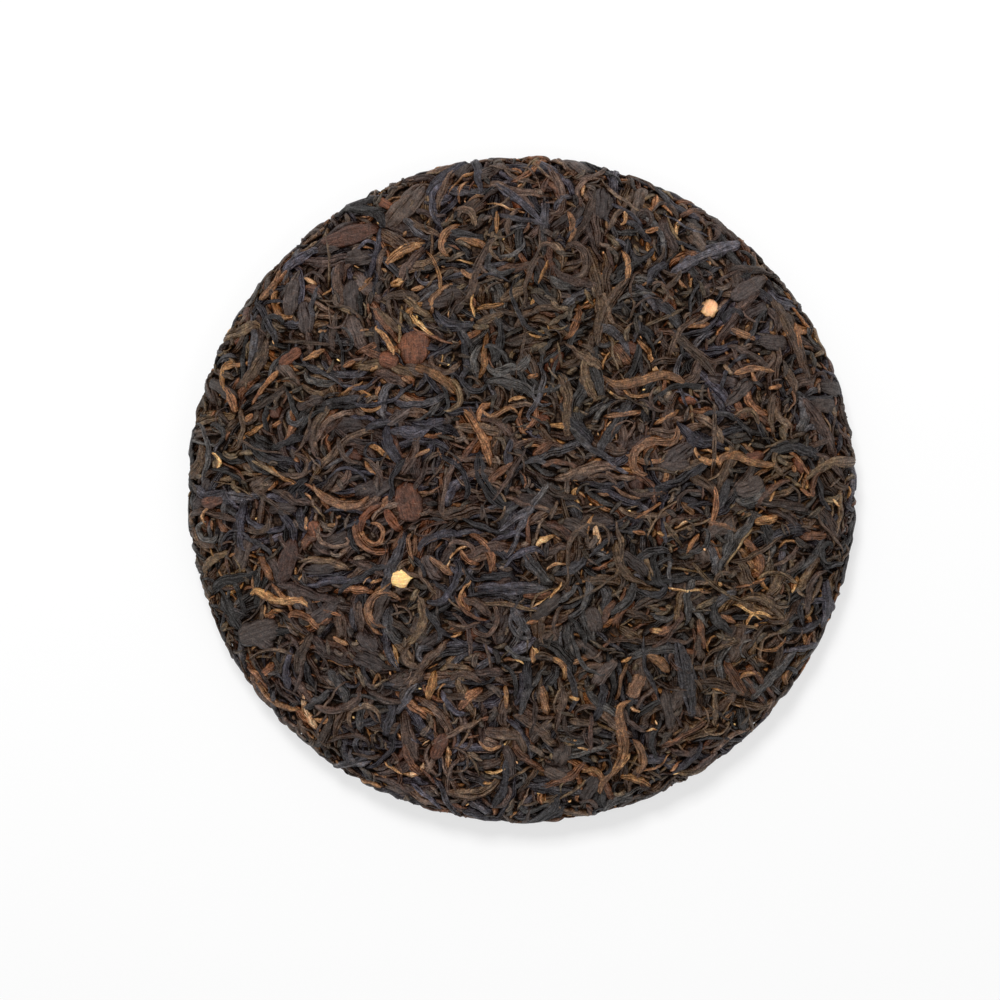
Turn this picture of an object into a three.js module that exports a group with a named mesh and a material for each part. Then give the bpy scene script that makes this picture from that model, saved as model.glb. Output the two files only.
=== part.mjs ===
// A pressed cake of dark fermented tea, lying on its hollowed back with the domed face up.
//
// The cake is a single solid. Its form is a turned one: a gently domed face, a rounded rim, a flat
// ring to rest on and the round hollow that the knot of the pressing cloth leaves in the back. Rolled
// leaves cover it all over as relief at their true size. The ones that stand out on the face lie in
// their own places, and the rest are strewn evenly, the later ones running out under the earlier.
//
// A point of the surface is named by its place on a flat sheet wrapped over the face or over the back.
// The distance from the middle of the sheet is measured along the cake's meridian, so leaves keep
// their length where they bend over the rim. Millimetres, +Z up.

import * as THREE from "three";
import { ConvexHull } from "three/addons/math/ConvexHull.js";
import { mergeVertices } from "three/addons/utils/BufferGeometryUtils.js";

// Driving dimensions of the body, up to the middle of the leaves' relief.
const BODY_RADIUS = 98.8;
const FACE_RADIUS = 92; // where the domed face turns into the rim
const CENTRE_HEIGHT = 24;
const FACE_DROP = 9.5; // how far the face falls from its middle to the rim
const DOME_POWER = 2.6; // flat in the middle, steeper towards the rim
const BACK_RADIUS = 84; // where the rim ends on the back
const BACK_LIFT = 2.0; // how far the back rises from the resting ring towards the rim
const REST_OUTER = 53; // the flat ring that the cake rests on
const REST_INNER = 38;
const HOLLOW_DEPTH = 9;
const MERIDIAN_STEPS = 120; // points along the face, the rim and the hollow each
const RIM_REACH = 7; // how far the rim carries on along the face's slope before it bends

// Leaves.
const RIDGE_SPACING = 5.2; // at most, between the points along a leaf's ridge
const TIP = 1.9; // from a leaf's end to the end of its ridge
const BROAD_LEAF = 5; // from this width on a leaf has a flat top between two ridges
const TOP_SHARE = 0.55; // width of that flat top, as a share of the leaf's
const CREST = 0.9; // a ridge above the surface
const GROOVE = 0.75; // a leaf's edges below the surface
const LEAF_LIFT = 0.35; // how far a whole leaf lies higher or lower than its neighbours
const END_TAPER = 0.35; // 0 keeps a leaf's full width to its ends, 1 makes it a lens
const LEAF_MARGIN = 0.9; // room kept between a leaf and those that run out under it
const PATH_SAMPLES = 24;
const STREWN_ON_FACE = 285;
const STREWN_ON_RIM = 180;
const STREWN_ON_BACK = 145;
const STREWN_LENGTH = [11, 20];
const STREWN_WIDTH = [2.6, 4.4];
const STREWN_TURN = 50; // largest bend of each half of a strewn leaf, in degrees
const FACE_BAND = [0, 89]; // distances from the middle of the face, along the meridian
const RIM_BAND = [90, 115];
const RIM_DISTANCE = 103; // to the middle of the rim
const BACK_BAND = [4, 84]; // distances from the middle of the back, along the meridian
const BACK_START = { x: 70, y: 0 }; // the strewing over the back spreads out from here
const REST_POINTS = 64; // round each edge of the resting ring
const REST_MARGIN = 2.6; // kept free of leaves beyond both edges of the ring
const PLACING_TRIES = 60;
const SEED = 1973;

// The leaves that stand out on the face, each given by its middle, the way it points, its length and
// width, and how far its first and second halves bend. x runs to the right and y up the face.
const SHOWN_LEAVES = [
  // Around the upper left.
  { x: -33, y: 87, heading: 52, length: 21, width: 7.4, turns: [4, 8] }, // broad flat leaf
  { x: -52, y: 75, heading: 14, length: 20, width: 5.6, turns: [6, -10] },
  { x: -35, y: 70, heading: 26, length: 15, width: 3.2, turns: [-34, -22] },
  { x: -19, y: 73, heading: 62, length: 13, width: 2.4, turns: [50, 44] },
  { x: -17, y: 80, heading: -48, length: 13, width: 3.6, turns: [-40, -28] },
  { x: -46, y: 61, heading: 68, length: 17, width: 3.8, turns: [-18, 14] },
  { x: -32, y: 42, heading: 74, length: 11, width: 9.0, turns: [0, 0] }, // broad chestnut scrap
  { x: -26, y: 33, heading: -32, length: 17, width: 3.6, turns: [22, -26] },
  { x: -13, y: 15, heading: -66, length: 20, width: 3.2, turns: [16, -8] },
  { x: -73, y: 31, heading: 50, length: 26, width: 3.4, turns: [-12, 16] },
  { x: -64, y: 43, heading: -4, length: 19, width: 2.4, turns: [3, -3] },
  { x: -88, y: 30, heading: -80, length: 18, width: 2.6, turns: [-60, -20] },
  { x: -79, y: 57, heading: 66, length: 22, width: 4.2, turns: [10, 24] },
  // Around the upper right.
  { x: 10, y: 90, heading: -66, length: 24, width: 2.6, turns: [24, -52] },
  { x: -1, y: 85, heading: -36, length: 20, width: 2.8, turns: [10, -14] },
  { x: 55, y: 68, heading: 24, length: 24, width: 5.0, turns: [-8, 4] },
  { x: 22, y: 64, heading: -70, length: 16, width: 4.2, turns: [10, -4] },
  { x: 17, y: 69, heading: 80, length: 13, width: 5.0, turns: [-70, -60] },
  { x: 31, y: 65, heading: -84, length: 14, width: 2.4, turns: [-40, -38] },
  { x: 27, y: 53, heading: 56, length: 27, width: 3.6, turns: [-4, -8] },
  { x: 51, y: 39, heading: -42, length: 22, width: 3.0, turns: [8, -8] },
  { x: 36, y: 32, heading: 2, length: 27, width: 3.6, turns: [-16, 22] },
  { x: 80, y: 45, heading: -64, length: 30, width: 4.0, turns: [-6, -14] },
  { x: 68, y: 33, heading: 2, length: 14, width: 2.4, turns: [8, -8] },
  { x: 40, y: 16, heading: 26, length: 22, width: 3.0, turns: [-88, -50] },
  { x: 57, y: 14, heading: -87, length: 24, width: 2.4, turns: [2, 2] },
  { x: 67, y: 8, heading: 2, length: 20, width: 3.2, turns: [-16, 10] },
  { x: 88, y: 18, heading: -22, length: 20, width: 4.6, turns: [-10, -8] },
  // Around the lower left.
  { x: -53, y: -4, heading: -10, length: 21, width: 2.8, turns: [46, 58] },
  { x: -76, y: -6, heading: -34, length: 18, width: 2.4, turns: [4, -6] },
  { x: -43, y: -13, heading: 20, length: 24, width: 3.0, turns: [150, 130] }, // coiled bud
  { x: -34, y: -4, heading: -66, length: 12, width: 8.0, turns: [0, 0] }, // broad chestnut scrap
  { x: -70, y: -22, heading: 74, length: 17, width: 5.2, turns: [8, -12] },
  { x: -70, y: -35, heading: -12, length: 18, width: 3.6, turns: [-12, 10] },
  { x: -40, y: -37, heading: -50, length: 25, width: 2.8, turns: [-110, -110] }, // ring
  { x: -49, y: -39, heading: -86, length: 13, width: 3.4, turns: [4, 0] },
  { x: -79, y: -44, heading: 16, length: 15, width: 7.0, turns: [10, 8] },
  { x: -75, y: -61, heading: -48, length: 25, width: 2.6, turns: [2, 30] },
  { x: -33, y: -76, heading: -76, length: 19, width: 4.2, turns: [4, 8] },
  { x: -15, y: -64, heading: 46, length: 14, width: 3.4, turns: [12, -16] },
  { x: -11, y: -19, heading: -60, length: 17, width: 2.8, turns: [20, -26] },
  { x: -29, y: -59, heading: 78, length: 11, width: 3.2, turns: [-16, 8] },
  // Around the lower right.
  { x: 57, y: -3, heading: -82, length: 18, width: 2.6, turns: [26, -46] },
  { x: 17, y: -20, heading: 66, length: 30, width: 2.4, turns: [-14, -120] },
  { x: 58, y: -27, heading: -38, length: 25, width: 2.4, turns: [2, -4] },
  { x: 73, y: -10, heading: 8, length: 18, width: 3.4, turns: [-14, 14] },
  { x: 30, y: -76, heading: -82, length: 35, width: 3.8, turns: [-16, -14] },
  { x: 41, y: -54, heading: -46, length: 14, width: 3.8, turns: [6, -22] },
  { x: 36, y: -82, heading: -78, length: 14, width: 3.6, turns: [-14, 18] },
  { x: 10, y: -55, heading: -64, length: 13, width: 2.8, turns: [-8, 40] },
  { x: 49, y: -58, heading: -80, length: 26, width: 5.4, turns: [4, 6] },
  { x: 6, y: -63, heading: 80, length: 18, width: 3.6, turns: [6, -10] },
  { x: 76, y: -58, heading: 44, length: 22, width: 3.8, turns: [8, 6] },
  { x: -3, y: -30, heading: 2, length: 24, width: 4.2, turns: [2, -6] },
];
const SHOWN_LIFT = 0.7; // the leaves that stand out lie higher than the rest
// Two pale scraps of husk that lie among the leaves.
const SHOWN_CHIPS = [
  { x: -36, y: -27, heading: 20, length: 6.6, width: 5.4, turns: [0, 0] },
  { x: 56.5, y: 54, heading: 60, length: 6.4, width: 5.2, turns: [0, 0] },
];
const CHIP_LIFT = 0.8;

const TEA = new THREE.MeshStandardMaterial({ color: 0x43372f, roughness: 0.72, metalness: 0 });

// A repeatable stream of numbers from 0 to 1.
function randomStream(seed) {
  let state = seed >>> 0;
  return () => {
    state = (state + 0x6d2b79f5) >>> 0;
    let t = state;
    t = Math.imul(t ^ (t >>> 15), t | 1);
    t ^= t + Math.imul(t ^ (t >>> 7), t | 61);
    return ((t ^ (t >>> 14)) >>> 0) / 2 ** 32;
  };
}

const faceHeight = (r) => CENTRE_HEIGHT - FACE_DROP * (r / FACE_RADIUS) ** DOME_POWER;

// The rim as one curve that leaves the face along its slope and meets the back along its own.
function rimCurve() {
  const faceSlope = (-FACE_DROP * DOME_POWER) / FACE_RADIUS;
  const backSlope = BACK_LIFT / (BACK_RADIUS - REST_OUTER);
  const backReach = (8 * BODY_RADIUS - 4 * FACE_RADIUS - 3 * RIM_REACH - 4 * BACK_RADIUS) / 3;
  return new THREE.CubicBezierCurve(
    new THREE.Vector2(FACE_RADIUS, faceHeight(FACE_RADIUS)),
    new THREE.Vector2(FACE_RADIUS + RIM_REACH, faceHeight(FACE_RADIUS) + faceSlope * RIM_REACH),
    new THREE.Vector2(BACK_RADIUS + backReach, BACK_LIFT + backSlope * backReach),
    new THREE.Vector2(BACK_RADIUS, BACK_LIFT),
  );
}

// The meridian from the middle of the face over the rim to the middle of the hollow, as (radius, height).
function meridian() {
  const shares = Array.from({ length: MERIDIAN_STEPS + 1 }, (_, i) => i / MERIDIAN_STEPS);
  const face = shares.slice(0, -1).map((share) => {
    const radius = FACE_RADIUS * share;
    return new THREE.Vector2(radius, faceHeight(radius));
  });
  const hollow = shares.map((share) => {
    const height = (HOLLOW_DEPTH * (1 - Math.cos(Math.PI * share))) / 2;
    return new THREE.Vector2(REST_INNER * (1 - share), height);
  });
  return [...face, ...rimCurve().getPoints(MERIDIAN_STEPS), new THREE.Vector2(REST_OUTER, 0), ...hollow];
}

// For each point of the meridian, its distance from the face's middle measured along the curve, and
// the polar angle that it gets on a sphere when the cake is mapped to the sphere without shear.
function measuredMeridian() {
  const points = meridian();
  let distance = 0;
  let stretch = 0;
  const spots = points.slice(1, -1).map((point, i) => {
    const step = point.distanceTo(points[i]);
    distance += step;
    stretch += i ? step / ((point.x + points[i].x) / 2) : 0;
    return { point, distance, stretch };
  });
  const rim = spots.find((spot) => spot.distance > RIM_DISTANCE).stretch;
  return spots.map((spot) => ({ ...spot, polar: 2 * Math.atan(Math.exp(spot.stretch - rim)) }));
}

const MERIDIAN = measuredMeridian();
const MERIDIAN_LENGTH = MERIDIAN.at(-1).distance;
// From the middle of the back, up and down the hollow's wall to the resting ring.
const HOLLOW_REACH = MERIDIAN_LENGTH - MERIDIAN.at(-MERIDIAN_STEPS).distance;

// Where the point (x, y) of the sheet over the face or the back lies: on the meridian, and round the axis.
function spotOf(x, y, side) {
  const reach = Math.hypot(x, y);
  const distance = side === "face" ? reach : MERIDIAN_LENGTH - reach;
  const next = MERIDIAN.findIndex((spot) => spot.distance >= distance);
  const i = next < 0 ? MERIDIAN.length - 1 : Math.max(1, next);
  const [a, b] = [MERIDIAN[i - 1], MERIDIAN[i]];
  const share = THREE.MathUtils.clamp((distance - a.distance) / (b.distance - a.distance), 0, 1);
  const point = a.point.clone().lerp(b.point, share);
  const slope = b.point.clone().sub(a.point).normalize();
  return {
    turn: (side === "face" ? 1 : -1) * Math.atan2(y, x),
    polar: THREE.MathUtils.lerp(a.polar, b.polar, share),
    radius: point.x,
    height: point.y,
    outward: new THREE.Vector2(-slope.y, slope.x),
  };
}

// The place of a spot raised off the surface, pressed flat where it would reach under the table.
function onCake(spot, raised) {
  const radius = spot.radius + spot.outward.x * raised;
  const height = Math.max(0, spot.height + spot.outward.y * raised);
  return new THREE.Vector3(radius * Math.cos(spot.turn), radius * Math.sin(spot.turn), height);
}

function onSphere(spot) {
  return new THREE.Vector3().setFromSphericalCoords(1, spot.polar, spot.turn);
}

// The middle line of a leaf on the flat sheet: its curvature changes evenly from one end to the other.
function leafPath({ x, y, heading, length, turns }) {
  const [first, second] = turns.map(THREE.MathUtils.degToRad);
  const [middleBend, bendChange] = [first + second, 4 * (second - first)];
  const angleAt = (s) => THREE.MathUtils.degToRad(heading) + middleBend * s + (bendChange * s * s) / 2;
  return (share) => {
    const place = new THREE.Vector2(x, y);
    for (let i = 0; i < PATH_SAMPLES; i++) {
      const angle = angleAt((share * (i + 0.5)) / PATH_SAMPLES);
      place.x += (Math.cos(angle) * share * length) / PATH_SAMPLES;
      place.y += (Math.sin(angle) * share * length) / PATH_SAMPLES;
    }
    return { place, angle: angleAt(share) };
  };
}

// The relief of one leaf: low points round its edge, and between them a ridge, or two on a broad leaf.
function leafRelief(leaf, side) {
  const along = leafPath(leaf);
  const ridge = leaf.length - 2 * TIP;
  const steps = Math.ceil(ridge / RIDGE_SPACING);
  const stations = Array.from({ length: steps + 1 }, (_, i) => (ridge * (i / steps - 0.5)) / leaf.length);
  const points = [];
  const line = [];
  for (const share of [-0.5, ...stations, 0.5]) {
    const { place, angle } = along(share);
    const atEnd = Math.abs(share) === 0.5;
    const halfWidth = (leaf.width / 2) * (1 - (2 * share) ** 2) ** END_TAPER;
    const add = (across, raised) => {
      const [x, y] = [place.x - Math.sin(angle) * across, place.y + Math.cos(angle) * across];
      points.push({ spot: spotOf(x, y, side), raised: leaf.lift + raised });
    };
    line.push(onCake(spotOf(place.x, place.y, side), 0));
    if (atEnd) {
      add(0, -GROOVE / 2);
      continue;
    }
    const crests = leaf.width < BROAD_LEAF ? [0] : [-TOP_SHARE, TOP_SHARE];
    crests.forEach((crest) => add(crest * halfWidth, CREST));
    [-1, 1].forEach((edge) => add(edge * halfWidth, -GROOVE));
  }
  return { points, line, clear: leaf.width / 2 + LEAF_MARGIN };
}

// Leaves strewn evenly over a ring of the sheet: each takes the emptiest of several random places.
function strewnLeaves(count, [inner, outer], taken, random) {
  const between = ([low, high]) => low + (high - low) * random();
  const placed = [];
  for (let n = 0; n < count; n++) {
    const others = [...taken, ...placed];
    let best = { room: -1 };
    for (let i = 0; i < PLACING_TRIES; i++) {
      const reach = Math.sqrt(inner ** 2 + (outer ** 2 - inner ** 2) * random());
      const turn = 2 * Math.PI * random();
      const [x, y] = [reach * Math.cos(turn), reach * Math.sin(turn)];
      const room = Math.min(...others.map((other) => Math.hypot(other.x - x, other.y - y)));
      if (room > best.room) best = { x, y, room };
    }
    placed.push({
      x: best.x,
      y: best.y,
      heading: 360 * random(),
      length: between(STREWN_LENGTH),
      width: between(STREWN_WIDTH),
      lift: between([-LEAF_LIFT, LEAF_LIFT]),
      turns: [between([-STREWN_TURN, STREWN_TURN]), between([-STREWN_TURN, STREWN_TURN])],
    });
  }
  return placed;
}

// The points of all leaves, without those of a leaf that lie under an earlier one.
function coverWith(reliefs) {
  const segment = new THREE.Line3();
  const nearest = new THREE.Vector3();
  const isUnder = (place, { line, clear }) =>
    line.slice(1).some((end, i) => {
      segment.set(line[i], end).closestPointToPoint(place, true, nearest);
      return nearest.distanceTo(place) < clear;
    });
  return reliefs.flatMap(({ points }, i) => {
    const earlier = reliefs.slice(0, i);
    return points.filter(({ spot }) => {
      const place = onCake(spot, 0);
      return !earlier.some((relief) => isUnder(place, relief));
    });
  });
}

// The smooth ring on the back that the cake rests on: points round its inner and outer edges, with
// those of the one halfway between those of the other.
function restingRing() {
  const points = [];
  for (const [edge, reach] of [HOLLOW_REACH, HOLLOW_REACH + REST_OUTER - REST_INNER].entries()) {
    for (let i = 0; i < REST_POINTS; i++) {
      const turn = (2 * Math.PI * (i + edge / 2)) / REST_POINTS;
      points.push({ spot: spotOf(reach * Math.cos(turn), reach * Math.sin(turn), "back"), raised: 0 });
    }
  }
  return points;
}

function isOffTheRing({ spot }) {
  const onBack = spot.outward.y < 0;
  return !onBack || spot.radius < REST_INNER - REST_MARGIN || spot.radius > REST_OUTER + REST_MARGIN;
}

// The skin through all points. The hull of their places on the sphere says which of them make a
// triangle, because it keeps the triangles as even as the points allow. Each is then put on the cake.
function skinThrough(points) {
  const hull = new ConvexHull().setFromPoints(
    points.map(({ spot, raised }) => Object.assign(onSphere(spot), { place: onCake(spot, raised) })),
  );
  const corners = hull.faces.flatMap(({ edge }) => {
    const around = [edge.head(), edge.next.head(), edge.next.next.head()];
    return around.flatMap(({ point }) => point.place.toArray());
  });
  const skin = new THREE.BufferGeometry();
  skin.setAttribute("position", new THREE.Float32BufferAttribute(corners, 3));
  return mergeVertices(skin);
}

// The whole cake as one closed mesh, moved so that its box stands centred on the origin.
function teaCake() {
  const random = randomStream(SEED);
  const shown = SHOWN_LEAVES.map((leaf) => ({ ...leaf, lift: SHOWN_LIFT }));
  const chips = SHOWN_CHIPS.map((chip) => ({ ...chip, lift: CHIP_LIFT }));
  const placed = [...chips, ...shown];
  placed.push(...strewnLeaves(STREWN_ON_FACE, FACE_BAND, placed, random));
  placed.push(...strewnLeaves(STREWN_ON_RIM, RIM_BAND, placed, random));
  const onBack = strewnLeaves(STREWN_ON_BACK, BACK_BAND, [BACK_START], random);
  const reliefs = [
    ...placed.map((leaf) => leafRelief(leaf, "face")),
    ...onBack.map((leaf) => leafRelief(leaf, "back")),
  ];
  const geometry = skinThrough([...restingRing(), ...coverWith(reliefs).filter(isOffTheRing)]);
  geometry.computeBoundingBox();
  const middle = geometry.boundingBox.getCenter(new THREE.Vector3());
  geometry.translate(-middle.x, -middle.y, 0);
  geometry.computeVertexNormals();
  return geometry;
}

const cake = new THREE.Mesh(teaCake(), TEA);
cake.name = "tea_cake";

const group = new THREE.Group();
group.add(cake);

export default group;
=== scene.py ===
"""Looks of a pressed cake of dark fermented tea, lying on its back with the domed face up.

The cake is built as it is made. Leaves, buds, stalks and scraps are laid one after another on a flat
sheet, each draped over those already there, and the pile is then pressed level and wrapped over the
cake's turned form, so that a leaf keeps its length where it bends over the rim. One sheet covers the
face and the rim, another the back. Sizes are millimetres until a mesh is made, in metres.
"""

import logging
import math
from dataclasses import dataclass, field
from enum import Enum

import bpy
import numpy as np
from numpy.typing import NDArray
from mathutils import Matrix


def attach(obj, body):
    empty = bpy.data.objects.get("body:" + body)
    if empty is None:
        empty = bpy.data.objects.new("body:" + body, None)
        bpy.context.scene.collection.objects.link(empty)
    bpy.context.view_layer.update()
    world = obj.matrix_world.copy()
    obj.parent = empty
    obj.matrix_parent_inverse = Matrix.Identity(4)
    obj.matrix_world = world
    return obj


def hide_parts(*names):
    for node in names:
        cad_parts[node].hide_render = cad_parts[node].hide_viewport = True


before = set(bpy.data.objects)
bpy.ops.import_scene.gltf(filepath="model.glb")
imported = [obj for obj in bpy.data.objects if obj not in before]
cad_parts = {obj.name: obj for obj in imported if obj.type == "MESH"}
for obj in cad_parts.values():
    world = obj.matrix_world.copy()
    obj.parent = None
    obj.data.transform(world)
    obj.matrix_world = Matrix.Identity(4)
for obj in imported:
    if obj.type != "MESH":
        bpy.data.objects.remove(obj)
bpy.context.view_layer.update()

Array = NDArray[np.float64]
Rows = NDArray[np.int64]
Colour = tuple[float, float, float]
Socket = bpy.types.NodeSocket

LOG = logging.getLogger("tea_cake")
MM = 0.001  # metres
FULL_TURN = 2 * math.pi
LEAST = 1e-3  # stands for nought where nought won't do
BODY = "root"
NODE = "tea_cake"
SEED = 1973


class Side(Enum):
    """The two sheets that wrap the cake."""

    FACE = "face"
    BACK = "back"


class Kind(Enum):
    """What a leaf is, which decides its finish and the piece that it goes into."""

    SLATE = "slate"
    BROWN = "brown"
    RUST = "rust"
    GOLDEN = "golden"
    BROAD = "broad"
    STEM = "stem"
    SCRAP = "scrap"
    FLAKE = "flake"
    HUSK = "husk"


def palette(*screen: Colour) -> tuple[Colour, ...]:
    """Linear colours of screen colours, by the usual screen's curve.

    Args:
        screen: The screen colours, whose channels run to 255.

    Returns:
        The linear colours, whose channels run to one.
    """
    share = np.array(screen) / 255
    linear = np.where(share <= 0.04045, share / 12.92, ((share + 0.055) / 1.055) ** 2.4)
    return tuple(tuple(colour) for colour in linear.tolist())


@dataclass
class CakeForm:
    """The turned form of the cake, up to the middle of the leaves' relief.

    The meridian runs from the middle of the face over the rim to the middle of the hollow in the back.
    """

    body_radius: float = 98.8  # of the rim's middle
    face_radius: float = 92.0  # where the rim leaves the face
    centre_height: float = 24.0
    face_drop: float = 9.5  # from the middle of the face to the rim
    dome_power: float = 2.6
    back_radius: float = 84.0  # where the rim meets the back
    back_lift: float = 2.0  # height there
    rest_outer: float = 53.0  # of the flat ring
    rest_inner: float = 38.0
    hollow_depth: float = 9.0
    rim_reach: float = 7.0  # of the rim's curve along the face's slope
    table_softness: float = 0.5
    steps: int = 240  # of the face, of the rim and of the hollow
    samples: int = 1200  # of the whole meridian
    distance: Array = field(init=False)
    radius: Array = field(init=False)
    height: Array = field(init=False)
    out_radius: Array = field(init=False)
    out_height: Array = field(init=False)

    def __post_init__(self) -> None:
        """Samples the meridian at even distances, with its outward direction."""
        points = self.meridian()
        steps = np.hypot(*np.diff(points, axis=0).T)
        along = np.concatenate([[0.0], np.cumsum(steps)])
        self.distance = np.linspace(0, along[-1], self.samples)
        self.radius = np.interp(self.distance, along, points[:, 0])
        self.height = np.interp(self.distance, along, points[:, 1])
        slope_radius = np.gradient(self.radius, self.distance)
        slope_height = np.gradient(self.height, self.distance)
        size = np.hypot(slope_radius, slope_height)
        self.out_radius = -slope_height / size
        self.out_height = slope_radius / size

    @property
    def length(self) -> float:
        """Length of the meridian."""
        return float(self.distance[-1])

    def meridian(self) -> Array:
        """Points of the meridian.

        The face falls by the drop times the radius's share to the dome's power. The rim is a cubic
        Bezier curve that leaves the face and meets the back along their slopes. Its reach along the
        back's slope is what puts its middle at the body's radius. The back runs straight to the flat
        ring, and the hollow's wall is half a cosine wave.

        Returns:
            Array of (radius, height) rows.
        """
        share = np.linspace(0, 1, self.steps + 1)[:, None]
        face_radius = self.face_radius * share
        face_height = self.centre_height - self.face_drop * share**self.dome_power
        face = np.hstack([face_radius, face_height])
        face_slope = -self.face_drop * self.dome_power / self.face_radius
        back_slope = self.back_lift / (self.back_radius - self.rest_outer)
        back_reach = (
            8 * self.body_radius - 4 * self.face_radius - 3 * self.rim_reach - 4 * self.back_radius
        ) / 3
        start = face[-1]
        end = np.array([self.back_radius, self.back_lift])
        leave = start + self.rim_reach * np.array([1.0, face_slope])
        meet = end + back_reach * np.array([1.0, back_slope])
        rest = 1 - share
        rim = (
            rest**3 * start
            + 3 * rest**2 * share * leave
            + 3 * rest * share**2 * meet
            + share**3 * end
        )
        hollow_height = self.hollow_depth * (1 - np.cos(math.pi * share)) / 2
        hollow = np.hstack([self.rest_inner * rest, hollow_height])
        return np.concatenate([face[:-1], rim, [[self.rest_outer, 0.0]], hollow])

    def on_sheet(self, x: Array, y: Array) -> tuple[Array, Array]:
        """Places on the face's sheet of points seen from above.

        Args:
            x: Places seen from above, to the right.
            y: Places seen from above, upwards.

        Returns:
            Places on the sheet, to the right and upwards, as far out as the cake is widest.
        """
        widest = int(np.argmax(self.radius)) + 1
        reach = np.hypot(x, y)
        along = np.interp(reach, self.radius[:widest], self.distance[:widest])
        stretch = along / np.maximum(reach, LEAST)
        return x * stretch, y * stretch

    def place(self, x: Array, y: Array, raised: Array, side: Side) -> Array:
        """Wraps points of a sheet over the cake.

        A point's distance from the sheet's middle is laid off along the meridian, from the face's
        middle or the back's, and the point is then raised along the surface's outward direction.
        Heights near the table are eased with half the sum of the height and the root of its square
        plus the softness squared, which keeps their order and stays above the table.

        Args:
            x: Places on the sheet, to the right.
            y: Places on the sheet, upwards.
            raised: Heights above the surface.
            side: The sheet.

        Returns:
            Array of places in metres, with x, y and z last.
        """
        reach = np.hypot(x, y)
        along = reach if side is Side.FACE else self.length - reach
        turn = np.arctan2(y, x) * (1 if side is Side.FACE else -1)
        radius = np.interp(along, self.distance, self.radius)
        radius = radius + np.interp(along, self.distance, self.out_radius) * raised
        height = np.interp(along, self.distance, self.height)
        height = height + np.interp(along, self.distance, self.out_height) * raised
        height = (height + np.sqrt(height**2 + self.table_softness**2)) / 2
        return np.stack([radius * np.cos(turn), radius * np.sin(turn), height], axis=-1) * MM


@dataclass(frozen=True)
class LeafSort:
    """Sizes of one sort of leaf, each as the smallest and the largest."""

    kind: Kind
    weight: float  # how often it is drawn, against the others
    length: tuple[float, float]
    width: tuple[float, float]
    thickness: tuple[float, float]
    bend: float  # largest turn of the middle line from end to end, in degrees
    sway: float  # largest change of that turn along the leaf
    hook: float  # largest turn at one end
    groove: float  # depth of the folds along it, as a share of the thickness
    twist: float  # slope that its cross-section rolls to, at most
    ends: tuple[float, float]  # 0.2 ends it square, 1 draws it to a point


SORTS = (
    LeafSort(Kind.SLATE, 0.21, (10, 24), (1.6, 4.0), (1.2, 2.0), 110, 260, 90, 0.9, 0.5, (0.25, 0.7)),
    LeafSort(Kind.SLATE, 0.12, (9, 19), (1.0, 2.3), (1.0, 1.7), 300, 380, 260, 0.8, 0.4, (0.3, 0.7)),
    LeafSort(Kind.BROWN, 0.20, (9, 23), (1.5, 3.8), (1.2, 2.0), 110, 260, 90, 0.9, 0.5, (0.25, 0.7)),
    LeafSort(Kind.BROWN, 0.13, (9, 19), (0.9, 2.1), (1.0, 1.7), 300, 380, 260, 0.8, 0.4, (0.3, 0.7)),
    LeafSort(Kind.BROWN, 0.08, (7, 18), (0.6, 1.1), (0.7, 1.1), 170, 300, 180, 0.4, 0.2, (0.3, 0.8)),
    LeafSort(Kind.RUST, 0.09, (8, 18), (1.2, 3.2), (1.0, 1.7), 120, 240, 120, 0.9, 0.5, (0.3, 0.8)),
    LeafSort(Kind.GOLDEN, 0.07, (6, 15), (0.8, 2.2), (0.9, 1.5), 150, 240, 160, 0.8, 0.4, (0.4, 0.8)),
    LeafSort(Kind.BROAD, 0.05, (8, 14), (3.6, 6.0), (1.0, 1.5), 40, 80, 0, 0.7, 0.4, (0.2, 0.5)),
    LeafSort(Kind.STEM, 0.05, (9, 24), (0.8, 1.3), (0.8, 1.2), 60, 140, 60, 0.3, 0.1, (0.15, 0.35)),
    LeafSort(Kind.FLAKE, 0.01, (4, 8), (2.8, 5.0), (0.8, 1.2), 0, 0, 0, 0.2, 0.2, (0.15, 0.4)),
)
SCRAPS = (
    LeafSort(Kind.SCRAP, 0.58, (2.6, 7.0), (0.7, 2.2), (0.5, 1.0), 120, 120, 0, 0.7, 0.6, (0.3, 0.8)),
    LeafSort(Kind.SCRAP, 0.20, (1.4, 3.2), (0.6, 1.5), (0.4, 0.8), 40, 0, 0, 0.5, 0.5, (0.4, 0.8)),
    LeafSort(Kind.RUST, 0.07, (1.6, 5.0), (0.6, 1.6), (0.4, 0.8), 80, 40, 0, 0.5, 0.4, (0.4, 0.8)),
    LeafSort(Kind.GOLDEN, 0.12, (1.4, 4.4), (0.4, 1.3), (0.4, 0.8), 80, 40, 0, 0.5, 0.4, (0.4, 0.8)),
    LeafSort(Kind.HUSK, 0.03, (0.8, 1.8), (0.4, 0.8), (0.4, 0.7), 0, 0, 0, 0.2, 0.2, (0.4, 0.8)),
)


@dataclass
class Leaves:
    """A batch of leaves, one row each, with places on a sheet in millimetres and turns in radians."""

    kind: NDArray[np.object_]
    heading: Array
    length: Array
    width: Array
    thickness: Array
    bend: Array
    sway: Array
    hook_start: Array
    hook_end: Array
    groove: Array
    twist: Array
    end_start: Array
    end_end: Array
    tint: Array

    def __len__(self) -> int:
        """Number of leaves."""
        return len(self.length)

    def taken(self, rows: Rows) -> "Leaves":
        """The leaves of these rows."""
        return Leaves(**{name: column[rows] for name, column in vars(self).items()})

    def followed_by(self, other: "Leaves") -> "Leaves":
        """These leaves and then the other ones."""
        joined = {name: np.concatenate([vars(self)[name], vars(other)[name]]) for name in vars(self)}
        return Leaves(**joined)


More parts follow.
